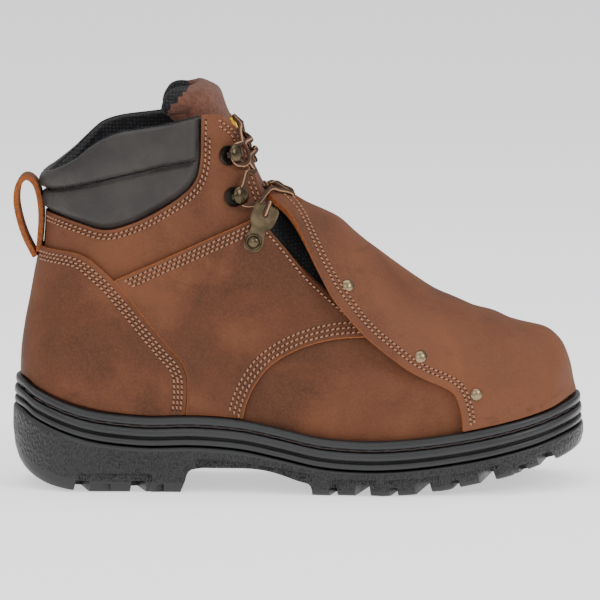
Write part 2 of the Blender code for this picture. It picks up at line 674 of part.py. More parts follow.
def make_tongue(parts):
    """The padded tongue: a trough that follows the front of the boot inside its wall."""
    edge, ridge = side_line(TONGUE_EDGE), side_line(TONGUE_RIDGE)
    bottom = side_line((TONGUE_EDGE[0], (0.645, 0.365), TONGUE_RIDGE[0]))
    top = side_line((TONGUE_EDGE[-1], (0.303, 1.104), TONGUE_RIDGE[-1]))
    rows, columns = 15, 6
    grid = patch(bottom, top, edge, ridge, columns, rows, one_end(columns, last=True))
    points, _ = wrap(grid, dorsal=ridge, join_last=True)
    points = points - grid_normals(points, False) * TONGUE_LAY
    return skin("tongue", points, False, TONGUE, MATERIALS["suede"], parts)


def make_flap(parts):
    """The metatarsal guard: one thick sheet from the welt round the toe, up over the instep."""
    edge, ridge = side_line(FLAP_EDGE), RIDGE
    rest = lambda line, far: clipped(line, low_z=far, high_z=line.samples[-1, 1])
    low_edge = over_welt(0.784 * LENGTH)
    low_ridge = over_welt(0.996 * LENGTH)
    left, right = rest(edge, low_edge), rest(ridge, low_ridge)
    x = np.linspace(left.samples[0, 0], right.samples[0, 0], 30)
    bottom = Line([(0, 0), (1, 0)])
    bottom.samples = np.stack([x, over_welt(x)], -1)
    top = Line([(0, 0), (1, 0)])
    top.samples = np.array([left.samples[-1], right.samples[-1]])
    rows, columns = 15, 10
    grid = patch(bottom, top, left, right, columns, rows, one_end(columns, last=True))
    points, _ = wrap(grid, dorsal=RIDGE, join_last=True)
    points = points + grid_normals(points, False) * flap_lift(points)
    return skin("guard_flap", points, False, FLAP, MATERIALS["leather"], parts)


def flap_lift(points):
    """How far the flap's sides stand out beyond the vamp: its own thickness at the toe, more up the instep."""
    near = smooth_step(points[..., 0], 0.93 * LENGTH, 0.985 * LENGTH)
    return ((FLAP + 3.6 * GAP) * (1 - near))[..., None]


def make_counter(parts):
    """The heel counter, laid round the back over the upper."""
    front, top = side_line(COUNTER_FRONT), side_line(COUNTER_TOP)
    right = clipped(front, low_z=over_welt(0.303 * LENGTH), high_z=front.samples[-1, 1])
    left = clipped(BACK, low_z=over_welt(0.019 * LENGTH), high_z=top.samples[0, 1])
    x = np.linspace(left.samples[0, 0], right.samples[0, 0], 30)
    bottom = Line([(0, 0), (1, 0)])
    bottom.samples = np.stack([x, over_welt(x)], -1)
    top.samples[-1] = right.samples[-1]
    rows, columns = 7, 14
    grid = patch(bottom, top, left, right, columns, rows, one_end(columns, last=False))
    points, _ = wrap(grid, join_first=True)
    points = points + grid_normals(points, False) * (COUNTER + 2 * GAP)
    return skin("heel_counter", points, False, COUNTER, MATERIALS["leather"], parts)


MATERIALS = {}


def make_materials():
    MATERIALS.update(
        leather=paint("leather", (0.26, 0.105, 0.045), 0.62),
        suede=paint("suede", (0.20, 0.085, 0.055), 0.95),
        pad=paint("pad", (0.070, 0.062, 0.058), 0.55),
        lining=paint("lining", (0.020, 0.021, 0.023), 0.90),
        rubber=paint("rubber", (0.024, 0.024, 0.025), 0.60),
        brass=paint("antique_brass", (0.36, 0.30, 0.20), 0.35, 1.0),
        lace=paint("lace", (0.17, 0.085, 0.05), 0.80),
        label=paint("label", (0.80, 0.52, 0.05), 0.70),
    )


def turned(name, profile, place, axis, material, collection, steps=10):
    """A round piece from (radius, height) pairs, listed top to bottom, set on a surface along its axis."""
    mesh = bpy.data.meshes.new(name)
    mesh.from_pydata([(r, 0, h) for r, h in profile], [(k, k + 1) for k in range(len(profile) - 1)], [])
    made = bpy.data.objects.new(name, mesh)
    mesh.materials.append(material)
    collection.objects.link(made)
    screw = made.modifiers.new("Turn", "SCREW")
    screw.steps = screw.render_steps = steps
    screw.use_merge_vertices = True
    screw.merge_threshold = 0.00002
    made.location = Vector(place)
    made.rotation_mode = "QUATERNION"
    made.rotation_quaternion = Vector(axis).to_track_quat("Z", "Y")
    return made


def make_rivets(parts):
    r = RIVET_RADIUS
    profile = [(0, 0.0020), (0.45 * r, 0.0018), (0.82 * r, 0.0011), (r, 0.0004), (r, 0), (0, 0)]
    for side, word in ((LATERAL, "lateral"), (MEDIAL, "medial")):
        for number, spot in enumerate(RIVETS, 1):
            place, n = on_boot(spot, side, 0.0, RIDGE)
            lift = float(flap_lift(place[None])[0, 0])
            place = place + n * (lift + GAP)
            turned(f"rivet_{word}_{number}", profile, place, n, MATERIALS["brass"], parts)


def wire(name, route, radius, material, collection, resolution=2):
    """A round bar along a route of points, with closed ends."""
    curve = bpy.data.curves.new(name, "CURVE")
    curve.dimensions = "3D"
    curve.bevel_depth = radius
    curve.bevel_resolution = resolution
    curve.use_fill_caps = True
    spline = curve.splines.new("POLY")
    spline.points.add(len(route) - 1)
    for point, at in zip(spline.points, route):
        point.co = (*at, 1)
    made = bpy.data.objects.new(name, curve)
    curve.materials.append(material)
    collection.objects.link(made)
    return made


def smooth_route(points, per_span=4):
    """Points read off a smooth curve through a few chosen ones."""
    p = [Vector(q) for q in points]
    p = [2 * p[0] - p[1], *p, 2 * p[-1] - p[-2]]
    route = []
    for a, b, c, d in zip(p, p[1:], p[2:], p[3:]):
        for k in range(per_span):
            t = k / per_span
            route.append(
                0.5 * (2 * b + (c - a) * t + (2 * a - 5 * b + 4 * c - d) * t**2 + (3 * b - a - 3 * c + d) * t**3)
            )
    return [*route, p[-2]]


def hook_frame(spot, side, out=0.0):
    """The point on the eyestay, its normal, and the direction towards the throat along the surface."""
    place, n = on_boot(spot, side, out)
    forward = Vector((1, 0, 0.15))
    forward = (forward - Vector(n) * forward.dot(Vector(n))).normalized()
    return Vector(place), Vector(n), forward


def mesh_from(made):
    """A curve turned into a mesh object of the same name, with its caps welded."""
    bpy.context.view_layer.update()
    mesh = bpy.data.meshes.new_from_object(made.evaluated_get(bpy.context.evaluated_depsgraph_get()))
    name, matrix, collection = made.name, made.matrix_world.copy(), made.users_collection[0]
    bpy.data.objects.remove(made)
    shape = bmesh.new()
    shape.from_mesh(mesh)
    bmesh.ops.remove_doubles(shape, verts=shape.verts, dist=0.00001)
    shape.to_mesh(mesh)
    shape.free()
    fresh = bpy.data.objects.new(name, mesh)
    fresh.matrix_world = matrix
    collection.objects.link(fresh)
    return fresh


def make_hook(name, spot, side, parts, helpers):
    """A speed hook: a base plate riveted to the eyestay and a curled lip with a domed end."""
    place, n, forward = hook_frame(spot, side, 4 * GAP)
    r = HOOK_RADIUS
    base = turned(name, [(0, 0.0012), (0.7 * r, 0.0010), (r, 0.0004), (r, 0), (0, 0)], place, n, MATERIALS["brass"], parts, 10)
    stem = smooth_route(
        [place + n * 0.0004, place + n * 0.0022 + forward * 0.0012, place + n * 0.0046 + forward * 0.0022], 3
    )
    stalk = mesh_from(wire(f"{name}_stalk", stem, 0.0017, MATERIALS["brass"], helpers, 1))
    dome_at = place + n * 0.0036 + forward * 0.0024
    profile = [(0, 0.0026), (0.5 * r, 0.0022), (0.84 * r, 0.0012), (0.94 * r, 0.0003), (0.86 * r, 0), (0, 0)]
    dome = turned(f"{name}_dome", profile, dome_at, n, MATERIALS["brass"], helpers, 10)
    for piece in (stalk, dome):
        cut(base, as_cutter(piece), "UNION")
    return applied(base)


def make_clip(name, spot, side, parts, helpers):
    """A lace clip: a riveted plate that bends up into an eye for the lace."""
    place, n, forward = hook_frame(spot, side, OVERLAY + 7 * GAP)
    up = n.cross(forward).normalized()
    if up.z < 0:
        up = -up
    way = (forward * 0.40 + up * 0.92).normalized()
    across = n.cross(way).normalized()
    table = (  # along, out, half width
        (-0.0048, 0.0000, 0.0026), (-0.0030, 0.0000, 0.0044), (0.0008, 0.0000, 0.0046), (0.0060, 0.0008, 0.0036),
        (0.0100, 0.0026, 0.0042), (0.0150, 0.0042, 0.0050), (0.0190, 0.0048, 0.0044), (0.0206, 0.0050, 0.0022),
    )
    rows = [[place + way * a + n * o + across * w * t for t in (-1, -0.5, 0.5, 1)] for a, o, w in table]
    points = np.array([[tuple(p) for p in row] for row in rows])
    if Vector(grid_normals(points, False)[3, 1]).dot(n) < 0:
        points = points[:, ::-1]
    made = skin(name, points + np.array(n) * 0.0011, False, 0.0011, MATERIALS["brass"], parts)
    boss_at = place + n * 0.0006 - way * 0.0004
    r = 0.0038
    boss = turned(
        f"{name}_boss", [(0, 0.0026), (0.6 * r, 0.0021), (r, 0.0010), (r, 0), (0, 0)], boss_at, n, MATERIALS["brass"], helpers
    )
    eye_at = place + way * 0.0160 + n * 0.0050
    hole = turned(f"{name}_hole", [(0, 0.004), (0.0019, 0.004), (0.0019, -0.004), (0, -0.004)], eye_at, n, MATERIALS["brass"], helpers)
    cut(made, as_cutter(boss), "UNION")
    cut(made, as_cutter(hole))
    return applied(made)


def make_hardware(parts, helpers):
    for side, word in ((LATERAL, "lateral"), (MEDIAL, "medial")):
        for number, spot in enumerate(HOOKS, 1):
            make_hook(f"hook_{word}_{number}", spot, side, parts, helpers)
        make_clip(f"lace_clip_{word}", CLIP, side, parts, helpers)


def make_pull_loop(parts):
    """The doubled strap at the heel: out from the counter, up, over and back down to the shaft."""
    share = (
        (0.0455, 0.528), (0.0475, 0.590), (0.0450, 0.650), (0.0385, 0.715), (0.0300, 0.762), (0.0200, 0.772),
        (0.0095, 0.745), (0.0065, 0.695), (0.0120, 0.635), (0.0215, 0.580), (0.0335, 0.530),
    )
    route = smooth_route([(x * LENGTH, 0, height(v)) for x, v in share], 3)
    half = LOOP_WIDTH / 2
    tangents = [(b - a).normalized() for a, b in zip([route[0], *route], [*route[1:], route[-1]])]
    tangents[0], tangents[-1] = (route[1] - route[0]).normalized(), (route[-1] - route[-2]).normalized()
    rows = []
    for at, t in zip(route, tangents):
        out = Vector((t.z, 0, -t.x)) * (LOOP_STRAP / 2)
        rows.append([tuple(at + out + Vector((0, y, 0))) for y in np.linspace(-half, half, 3)])
    points = np.array(rows)
    centre_of_loop = points.reshape(-1, 3).mean(axis=0)
    n = grid_normals(points, False)
    if ((points - centre_of_loop) * n).sum() < 0:
        points = points[:, ::-1]
    return skin("pull_loop", points, False, LOOP_STRAP, MATERIALS["leather"], parts)


def make_label(parts):
    """The woven tab sewn to the front of the tongue, left plain."""
    tongue = side_line(TONGUE_RIDGE)
    rows = []
    for v in (0.925, 0.950, 0.975):
        z = height(v)
        xs = np.linspace(tongue.x_at(z) - 0.025, tongue.x_at(z), 200)
        widths = half_width(xs, z, MEDIAL, tongue)
        row = []
        for y in (-0.012, -0.008, -0.004, 0.0, 0.004, 0.008, 0.012):
            row.append((np.interp(-abs(y), -widths, xs), y, z))
        rows.append(row)
    points = np.array(rows)
    if grid_normals(points, False)[1, 3, 0] < 0:
        points = points[:, ::-1]
    points = points - grid_normals(points, False) * (TONGUE_LAY - 0.0014 - GAP)
    return skin("tongue_label", points, False, 0.0008, MATERIALS["label"], parts)


def lace_point(spot, side):
    """Where a lace passes under the domed end of a hook."""
    place, n, forward = hook_frame(spot, side)
    return place + forward * 0.0082 + n * 0.0046


def make_laces(parts, helpers):
    """The lace over the tongue: a top bar, a pair of crossed legs and a lower bar, joined where they meet."""
    high, low = HOOKS
    routes = (("laces", high, LATERAL, low, MEDIAL, 0.0), ("leg", low, LATERAL, high, MEDIAL, 0.0),
              ("top_bar", high, LATERAL, high, MEDIAL, 0.045), ("low_bar", low, LATERAL, low, MEDIAL, 0.042))
    made = []
    for name, first, first_side, last, last_side, lift in routes:
        v = (first[1] + last[1]) / 2 + lift
        front = Vector((DORSAL.x_at(height(v)) - 0.0005, 0, height(v)))
        start, end = lace_point(first, first_side), lace_point(last, last_side)
        bow = Vector((0.0035, 0, 0.0010))
        route = [start, start.lerp(front, 0.5) + bow, front, end.lerp(front, 0.5) + bow, end]
        owner = helpers if made else parts
        made.append(mesh_from(wire(name, smooth_route(route, 3), LACE_RADIUS, MATERIALS["lace"], owner, 1)))
    for other in made[1:]:
        cut(made[0], as_cutter(other), "UNION")
    applied(made[0])


def clear_scene():
    for old in list(bpy.data.objects):
        bpy.data.objects.remove(old)


def collection_named(name):
    made = bpy.data.collections.new(name)
    bpy.context.scene.collection.children.link(made)
    return made


def rest_on_origin(parts, helpers):
    """Carries the boot so that the origin is on the floor, under the middle of its box."""
    plan = sole_outline(WELT_MARGIN + 0.0018, STATIONS)
    middle = (plan.min(axis=0) + plan.max(axis=0)) / 2
    carrier = bpy.data.objects.new("boot", None)
    carrier.location = (-middle[0], -middle[1], 0)
    parts.objects.link(carrier)
    for piece in [*parts.objects, *helpers.objects]:
        if piece is not carrier and piece.parent is None:
            piece.parent = carrier


def main():
    clear_scene()
    parts, helpers = collection_named("metatarsal_guard_boot"), collection_named("helpers")
    make_materials()
    make_outsole(parts, helpers)
    make_midsole(parts)
    make_welt(parts)
    make_insole(parts)
    make_upper(parts, helpers)
    make_counter(parts)
    for side, word in ((LATERAL, "lateral"), (MEDIAL, "medial")):
        panel(f"quarter_{word}", QUARTER_OUTLINE, side, 4.6 * GAP, OVERLAY, 0.0095, MATERIALS["leather"], parts)
    make_collar_pad(parts)
    make_tongue(parts)
    make_flap(parts)
    make_rivets(parts)
    make_hardware(parts, helpers)
    make_pull_loop(parts)
    make_label(parts)
    make_laces(parts, helpers)
    rest_on_origin(parts, helpers)


main()
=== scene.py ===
"""The looks of the metatarsal guard boot: leather panels, stitching, sole, hardware, camera and light."""

import math
import bmesh
import bpy
import numpy as np
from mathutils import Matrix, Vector
from mathutils.geometry import delaunay_2d_cdt


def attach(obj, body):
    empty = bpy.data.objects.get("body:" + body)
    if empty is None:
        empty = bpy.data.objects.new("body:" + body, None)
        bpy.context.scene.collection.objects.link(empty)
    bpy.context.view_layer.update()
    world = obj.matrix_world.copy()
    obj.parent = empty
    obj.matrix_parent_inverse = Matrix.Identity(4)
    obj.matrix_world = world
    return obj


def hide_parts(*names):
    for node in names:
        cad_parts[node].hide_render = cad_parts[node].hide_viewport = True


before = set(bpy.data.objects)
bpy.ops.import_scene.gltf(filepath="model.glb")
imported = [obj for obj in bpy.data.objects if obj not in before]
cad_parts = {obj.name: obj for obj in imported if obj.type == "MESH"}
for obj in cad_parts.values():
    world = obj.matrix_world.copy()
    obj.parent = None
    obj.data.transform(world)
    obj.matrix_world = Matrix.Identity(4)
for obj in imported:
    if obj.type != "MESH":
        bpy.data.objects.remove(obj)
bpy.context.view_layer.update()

# The boot's own sizes, in metres, as in the solids
GAP = 0.0003
LENGTH = 0.31
BALL_WIDTH = 0.099
HEEL_HEIGHT = 0.041
SHAFT_HEIGHT = 0.164
COLLAR_WIDTH = 0.08
LEATHER = 0.0024
OVERLAY = 0.0016
COUNTER = 0.002
FLAP = 0.0034
WELT_MARGIN = 0.0052
WELT_HEIGHT = 0.0058
MIDSOLE_HEIGHT = 0.009
ARCH_HEIGHT = 0.0135
QUARTER_LAY = 4.6 * GAP
TONGUE_LAY = 0.0038
HEEL_ROUND = 0.12
SHAFT_FRONT_ROUND = 0.135
TOE_ROUND = 0.172
LATERAL, MEDIAL = -1, 1
SIDES = ((LATERAL, "lateral"), (MEDIAL, "medial"))
# How square the boot is at its heel, toe and crown, as powers
HEEL_POWER, TOE_POWER, CROWN_POWER = 2.15, 2.35, 2.3
# Metres per pixel of the picture
PIXEL = 0.0005464
# Stitches and small hardware
THREAD_LIFT = 0.00005
STITCH_SIDES = 6
STITCH_SLANT = 0.00022
NEEDLE_RADIUS = 0.00058
RIVET_RADIUS = 0.0036
SLOT_STATION = 0.486

# Lines as (station as a share of LENGTH, height as a share of HEEL_HEIGHT)
WELT_LINE = (
    (-0.02, 1.5), (0.016, 1.46), (0.042, 1.34), (0.087, 1.2), (0.131, 1.1), (0.176, 1.04), (0.24, 1.0),
    (0.32, 1.01), (0.4, 0.97), (0.47, 0.87), (0.54, 0.76), (0.62, 0.725), (0.7, 0.75), (0.78, 0.82),
    (0.85, 0.91), (0.92, 1.03), (0.98, 1.17), (1.02, 1.26),
)
SEAT_LINE = (
    (-0.02, 1.06), (0.03, 1.0), (0.1, 0.9), (0.2, 0.83), (0.35, 0.81), (0.45, 0.72), (0.55, 0.6), (0.66, 0.56),
    (0.78, 0.64), (0.9, 0.8), (1.02, 1.02),
)
TREAD_LINE = (
    (-0.03, 0.66), (0.0, 0.46), (0.012, 0.33), (0.03, 0.21), (0.055, 0.11), (0.085, 0.045), (0.12, 0.01),
    (0.15, 0.0), (0.3, 0.0), (0.5, 0.0), (0.67, 0.0), (0.73, 0.04), (0.8, 0.12), (0.87, 0.23), (0.93, 0.35),
    (0.98, 0.47), (1.03, 0.62),
)
PLAN = (
    (0.0, 0.34, 0.34), (0.15, 0.35, 0.355), (0.29, 0.355, 0.325), (0.4, 0.39, 0.305), (0.51, 0.45, 0.35),
    (0.62, 0.5, 0.435), (0.7, 0.495, 0.49), (0.79, 0.46, 0.505), (0.87, 0.415, 0.5), (1.0, 0.36, 0.48),
)
# Lines as (station as a share of LENGTH, height over HEEL_HEIGHT as a share of SHAFT_HEIGHT)
BACK_LINE = (
    (0.0215, -0.1), (0.02, 0.0), (0.019, 0.06), (0.0195, 0.13), (0.0215, 0.207), (0.028, 0.293), (0.037, 0.378),
    (0.045, 0.462), (0.051, 0.52), (0.055, 0.59), (0.057, 0.665), (0.057, 0.74), (0.062, 0.815),
)
DORSAL_LINE = (
    (0.9825, -0.08), (0.983, 0.0), (0.9795, 0.05), (0.974, 0.09), (0.9665, 0.147), (0.957, 0.183),
    (0.94, 0.215), (0.914, 0.236), (0.88, 0.252), (0.862, 0.263), (0.836, 0.29), (0.8, 0.314), (0.773, 0.333),
    (0.74, 0.359), (0.7, 0.388), (0.65, 0.437), (0.6, 0.493), (0.55, 0.556), (0.51, 0.617), (0.48, 0.68),
    (0.46, 0.735), (0.445, 0.79), (0.429, 0.86), (0.415, 0.93), (0.403, 1.0), (0.39, 1.075), (0.378, 1.155),
    (0.37, 1.23),
)
COLLAR_LINE = (
    (0.062, 0.815), (0.095, 0.857), (0.141, 0.922), (0.185, 0.953), (0.26, 0.972), (0.333, 0.998),
    (0.37, 0.998), (0.403, 1.0),
)
SCOOP_LINE = (
    (0.056, 0.665), (0.08, 0.658), (0.115, 0.64), (0.165, 0.616), (0.211, 0.637), (0.256, 0.678),
    (0.299, 0.732), (0.322, 0.78), (0.331, 0.84), (0.3325, 0.92), (0.333, 0.985),
)
FLAP_RIDGE = (
    (0.996, -0.06), (0.9965, 0.0), (0.995, 0.04), (0.989, 0.085), (0.9817, 0.15), (0.9717, 0.192),
    (0.9592, 0.216), (0.9314, 0.237), (0.8981, 0.252), (0.8796, 0.261), (0.8643, 0.271), (0.8376, 0.298),
    (0.8, 0.321), (0.7489, 0.361), (0.6985, 0.418), (0.6484, 0.485), (0.6021, 0.556), (0.5723, 0.607),
    (0.5529, 0.628), (0.5162, 0.657), (0.4826, 0.692), (0.447, 0.728),
)
FLAP_EDGE = (
    (0.785, -0.05), (0.784, 0.0), (0.778, 0.053), (0.764, 0.094), (0.7144, 0.136), (0.675, 0.18),
    (0.615, 0.272), (0.567, 0.378), (0.5375, 0.47), (0.5112, 0.553), (0.4817, 0.636), (0.4449, 0.704),
)
TONGUE_RIDGE = (
    *DORSAL_LINE[15:24], (0.403, 0.985), (0.388, 1.03), (0.37, 1.073), (0.345, 1.098), (0.33, 1.106),
)
EYESTAY_FRONT = (
    (0.352, 1.06), (0.356, 1.01), (0.362, 0.997), (0.3701, 0.985), (0.3931, 0.949), (0.4089, 0.902),
    (0.4168, 0.852), (0.423, 0.811), (0.4292, 0.774), (0.4353, 0.744), (0.4405, 0.714), (0.443, 0.66),
    (0.44, 0.625), (0.47, 0.565), (0.51, 0.487), (0.55, 0.418), (0.595, 0.352), (0.64, 0.29), (0.665, 0.265),
    (0.69, 0.27), (0.715, 0.31), (0.735, 0.38), (0.75, 0.47),
)
TONGUE_FOOT = (
    (0.63, 0.3), (0.59, 0.345), (0.54, 0.41), (0.49, 0.485), (0.44, 0.56), (0.398, 0.65), (0.372, 0.75),
    (0.352, 0.85), (0.328, 0.925),
)
TONGUE_SIDES = {
    LATERAL: (
        *TONGUE_FOOT, (0.296, 0.962), (0.274, 0.99), (0.265, 1.022), (0.265, 1.055), (0.273, 1.083),
        (0.285, 1.092), (0.3, 1.098),
    ),
    MEDIAL: (
        *TONGUE_FOOT, (0.295, 0.962), (0.269, 0.995), (0.262, 1.03), (0.264, 1.06), (0.274, 1.084),
        (0.287, 1.092), (0.302, 1.097),
    ),
}
LINING_EDGE = (
    (0.27, 0.97), (0.2714, 0.9727), (0.2778, 1.0163), (0.2979, 1.0583), (0.3137, 1.088), (0.316, 1.12),
)
PAD_SEAM = (
    (0.056, 0.738), (0.09, 0.75), (0.128, 0.766), (0.2087, 0.803), (0.2626, 0.826), (0.333, 0.85),
    (0.35, 0.857),
)
COUNTER_TOP = (
    (0.048, 0.548), (0.075, 0.546), (0.1089, 0.54), (0.1326, 0.523), (0.1534, 0.49), (0.1771, 0.448),
    (0.2128, 0.368), (0.2424, 0.298), (0.2722, 0.23), (0.2958, 0.18), (0.3065, 0.13),
)
COUNTER_FRONT = ((0.3, -0.04), (0.3035, 0.01), (0.3068, 0.07), (0.3065, 0.13))
QUARTER_TOP = (
    (0.179, 0.45), (0.21, 0.475), (0.2424, 0.503), (0.3078, 0.559), (0.3612, 0.605), (0.41, 0.645),
    (0.433, 0.658),
)
QUARTER_THROAT = (
    (0.433, 0.658), (0.444, 0.618), (0.456, 0.59), (0.478, 0.542), (0.515, 0.462), (0.56, 0.387), (0.6, 0.325),
    (0.63, 0.267),
)
QUARTER_ARC = (
    (0.405, -0.015), (0.411, 0.04), (0.425, 0.1), (0.448, 0.16), (0.48, 0.205), (0.52, 0.24), (0.57, 0.262),
    (0.63, 0.267),
)
SHAFT_WIDTHS = (
    (0.0, 0.44), (0.2, 0.428), (0.38, 0.412), (0.5, 0.412), (0.62, 0.435), (0.78, 0.475), (0.9, 0.492),
    (1.0, 0.5), (1.3, 0.5),
)
CROWN_DEPTHS = (
    (0.36, 0.1), (0.4, 0.16), (0.44, 0.26), (0.5, 0.4), (0.58, 0.45), (0.66, 0.4), (0.75, 0.31), (0.86, 0.25),
    (1.0, 0.23),
)
RIVETS = ((0.583, 0.426), (0.7105, 0.2), (0.808, 0.08))
HOOKS = ((0.379, 0.862), (0.389, 0.727))
CLIP = (0.423, 0.582)
GROOVES = (0.128, 0.227, 0.62, 0.727, 0.836, 0.932)
NOTCHES = (0.18, 0.272, 0.56, 0.668, 0.775, 0.888)


def smooth_route(points, per_span=8):
    """Points on a smooth curve through a few chosen ones, in the side view or in space."""
    p = np.asarray(points, float)
    p = np.vstack([2 * p[0] - p[1], p, 2 * p[-1] - p[-2]])
    t = np.linspace(0, 1, per_span, endpoint=False)[:, None]
    spans = [
        0.5 * (2 * b + (c - a) * t + (2 * a - 5 * b + 4 * c - d) * t**2 + (3 * b - a - 3 * c + d) * t**3)
        for a, b, c, d in zip(p, p[1:], p[2:], p[3:])
    ]
    return np.vstack([*spans, p[-2]])


def run_along(route):
    """How far along a route each of its points lies."""
    return np.concatenate([[0], np.cumsum(np.linalg.norm(np.diff(route, axis=0), axis=1))])


def unit(v, axis=-1):
    v = np.asarray(v, float)
    return v / np.maximum(np.linalg.norm(v, axis=axis, keepdims=True), 1e-12)


class Line:
    """A curve in the side view, read by share of its length, by x or by z."""

    def __init__(self, samples):
        self.samples = np.asarray(samples, float)

    def at(self, share):
        run = run_along(self.samples)
        where = np.asarray(share) * run[-1]
        return np.stack([np.interp(where, run, self.samples[:, k]) for k in (0, 1)], -1)

    def read(self, value, axis):
        order = np.argsort(self.samples[:, axis])
        return np.interp(value, self.samples[order, axis], self.samples[order, 1 - axis])

    def z_at(self, x):
        return self.read(x, 0)

    def x_at(self, z):
        return self.read(z, 1)

    def moved(self, distance):
        """The same line moved sideways in the side view, to the left of its run."""
        d = np.gradient(self.samples, axis=0)
        return Line(self.samples + unit(np.stack([-d[:, 1], d[:, 0]], -1)) * distance)


def drawn(points, low=0.0, scale=1.0, steps=24):
    """A smooth line through given points (share of LENGTH, share of a height)."""
    return Line(smooth_route([(x * LENGTH, v) for x, v in points], steps) * (1, scale) + (0, low))


def sole_line(points):
    return drawn(points, 0, HEEL_HEIGHT)


def side_line(points):
    return drawn(points, HEEL_HEIGHT, SHAFT_HEIGHT)


def height(share):
    return HEEL_HEIGHT + share * SHAFT_HEIGHT


WELT, SEAT, TREAD = sole_line(WELT_LINE), sole_line(SEAT_LINE), sole_line(TREAD_LINE)
TREAD.samples[:, 1] = np.maximum(TREAD.samples[:, 1], 0)
BACK, DORSAL, RIDGE, TONGUE_TOP = (side_line(p) for p in (BACK_LINE, DORSAL_LINE, FLAP_RIDGE, TONGUE_RIDGE))
SCOOP, COLLAR, THROAT, SEAM = (side_line(p) for p in (SCOOP_LINE, COLLAR_LINE, EYESTAY_FRONT, PAD_SEAM))
LATERAL_HALF = drawn([(x, lateral) for x, lateral, _ in PLAN], 0, BALL_WIDTH)
MEDIAL_HALF = drawn([(x, medial) for x, _, medial in PLAN], 0, BALL_WIDTH)
CROWN = drawn(CROWN_DEPTHS, 0, SHAFT_HEIGHT)
SHAFT_HALF = np.array(SHAFT_WIDTHS)


def smooth_step(value, low, high):
    t = np.clip((value - low) / (high - low), 0, 1)
    return t * t * (3 - 2 * t)


def rounding(depth, power):
    inside = np.clip(depth, 0, 1)
    return (1 - (1 - inside) ** power) ** (1 / power)


def centre(x):
    tip = (MEDIAL_HALF.z_at(LENGTH) - LATERAL_HALF.z_at(LENGTH)) / 2
    return tip * smooth_step(x, 0.4 * LENGTH, 0.95 * LENGTH)


def half_width(x, z, side, dorsal=DORSAL):
    """How far the boot's side lies from its middle plane: the foot below, the shaft above, rounded at each end."""
    foot = np.where(side > 0, MEDIAL_HALF.z_at(x), LATERAL_HALF.z_at(x)) - side * centre(x)
    shaft = np.interp((z - HEEL_HEIGHT) / SHAFT_HEIGHT, SHAFT_HALF[:, 0], SHAFT_HALF[:, 1]) * COLLAR_WIDTH
    climb = smooth_step(z, height(0.0), height(0.5)) * (1 - smooth_step(x, 0.4 * LENGTH, 0.6 * LENGTH))
    tuck = np.clip((z - WELT.z_at(x)) / (0.1 * SHAFT_HEIGHT), 0, 1)
    full = (foot + (shaft - foot) * climb) * (1 - 0.018 * (1 - tuck) ** 2)
    nose = LENGTH * (TOE_ROUND + (SHAFT_FRONT_ROUND - TOE_ROUND) * smooth_step(z, height(0.35), height(0.65)))
    ends = (
        rounding((x - BACK.x_at(z)) / (HEEL_ROUND * LENGTH), HEEL_POWER),
        rounding((dorsal.x_at(z) - x) / nose, TOE_POWER),
        rounding((dorsal.z_at(x) - z) / CROWN.z_at(x), CROWN_POWER),
    )
    total = 1.0
    for e in ends:
        total = total + np.maximum(e, 1e-6) ** -5.0 - 1
    return full * total**-0.2


def surface(x, z, side, dorsal=DORSAL):
    x, z = np.asarray(x, float), np.asarray(z, float)
    return np.stack([x, centre(x) + side * half_width(x, z, side, dorsal), z], -1)


def surface_normal(x, z, side, dorsal=DORSAL):
    step = 0.0008
    across = surface(x + step, z, side, dorsal) - surface(x - step, z, side, dorsal)
    up = surface(x, z + step, side, dorsal) - surface(x, z - step, side, dorsal)
    return unit(np.cross(up, across) * side)


def sole_outline(out, stations):
    """The foot's plan outline as a closed ring, moved outward."""
    low, high = BACK.x_at(height(0.0)), DORSAL.x_at(height(0.0))
    x = low + (high - low) * both_ends(stations)
    rim = []
    for side, line in ((LATERAL, LATERAL_HALF), (MEDIAL, MEDIAL_HALF)):
        heel = rounding((x - low) / (HEEL_ROUND * LENGTH), HEEL_POWER)
        toe = rounding((high - x) / (TOE_ROUND * LENGTH), TOE_POWER)
        rim.append(np.stack([x, centre(x) + side * (line.z_at(x) - side * centre(x)) * (heel * toe)], -1))
    ring = np.concatenate([rim[0], rim[1][-2:0:-1]])
    along = np.roll(ring, -1, 0) - np.roll(ring, 1, 0)
    return ring + unit(np.stack([along[:, 1], -along[:, 0]], -1)) * out


def both_ends(count):
    return (1 - np.cos(math.pi * np.linspace(0, 1, count + 1))) / 2


def one_end(count, last):
    t = np.linspace(0, 1, count + 1)
    return np.sin(t * math.pi / 2) if last else 1 - np.cos(t * math.pi / 2)


PLAN_RING = sole_outline(WELT_MARGIN + 0.0018, 26)
SHIFT = np.append((PLAN_RING.min(axis=0) + PLAN_RING.max(axis=0)) / 2, 0.0)


def clipped(line, low, high, axis=1):
    """The part of a line between two heights, or between two x with axis 0."""
    p = line.samples
    if p[0, axis] > p[-1, axis]:
        p = p[::-1]
    ends = []
    for value in (low, high):
        end = np.empty(2)
        end[axis], end[1 - axis] = value, np.interp(value, p[:, axis], p[:, 1 - axis])
        ends.append(end)
    return Line(np.vstack([ends[0], p[(p[:, axis] > low) & (p[:, axis] < high)], ends[1]]))


def patch(bottom, top, left, right, rows, spread):
    """A grid of side-view points between four lines, rows from bottom to top."""
    v = np.linspace(0, 1, rows + 1)[:, None, None]
    u = np.asarray(spread)[None, :, None]
    low, high = bottom.at(spread)[None], top.at(spread)[None]
    start, end = left.at(v[:, 0, 0])[:, None], right.at(v[:, 0, 0])[:, None]
    corners = (1 - u) * (1 - v) * low[:, :1] + u * (1 - v) * low[:, -1:]
    corners = corners + (1 - u) * v * high[:, :1] + u * v * high[:, -1:]
    return (1 - v) * low + v * high + (1 - u) * start + u * end - corners


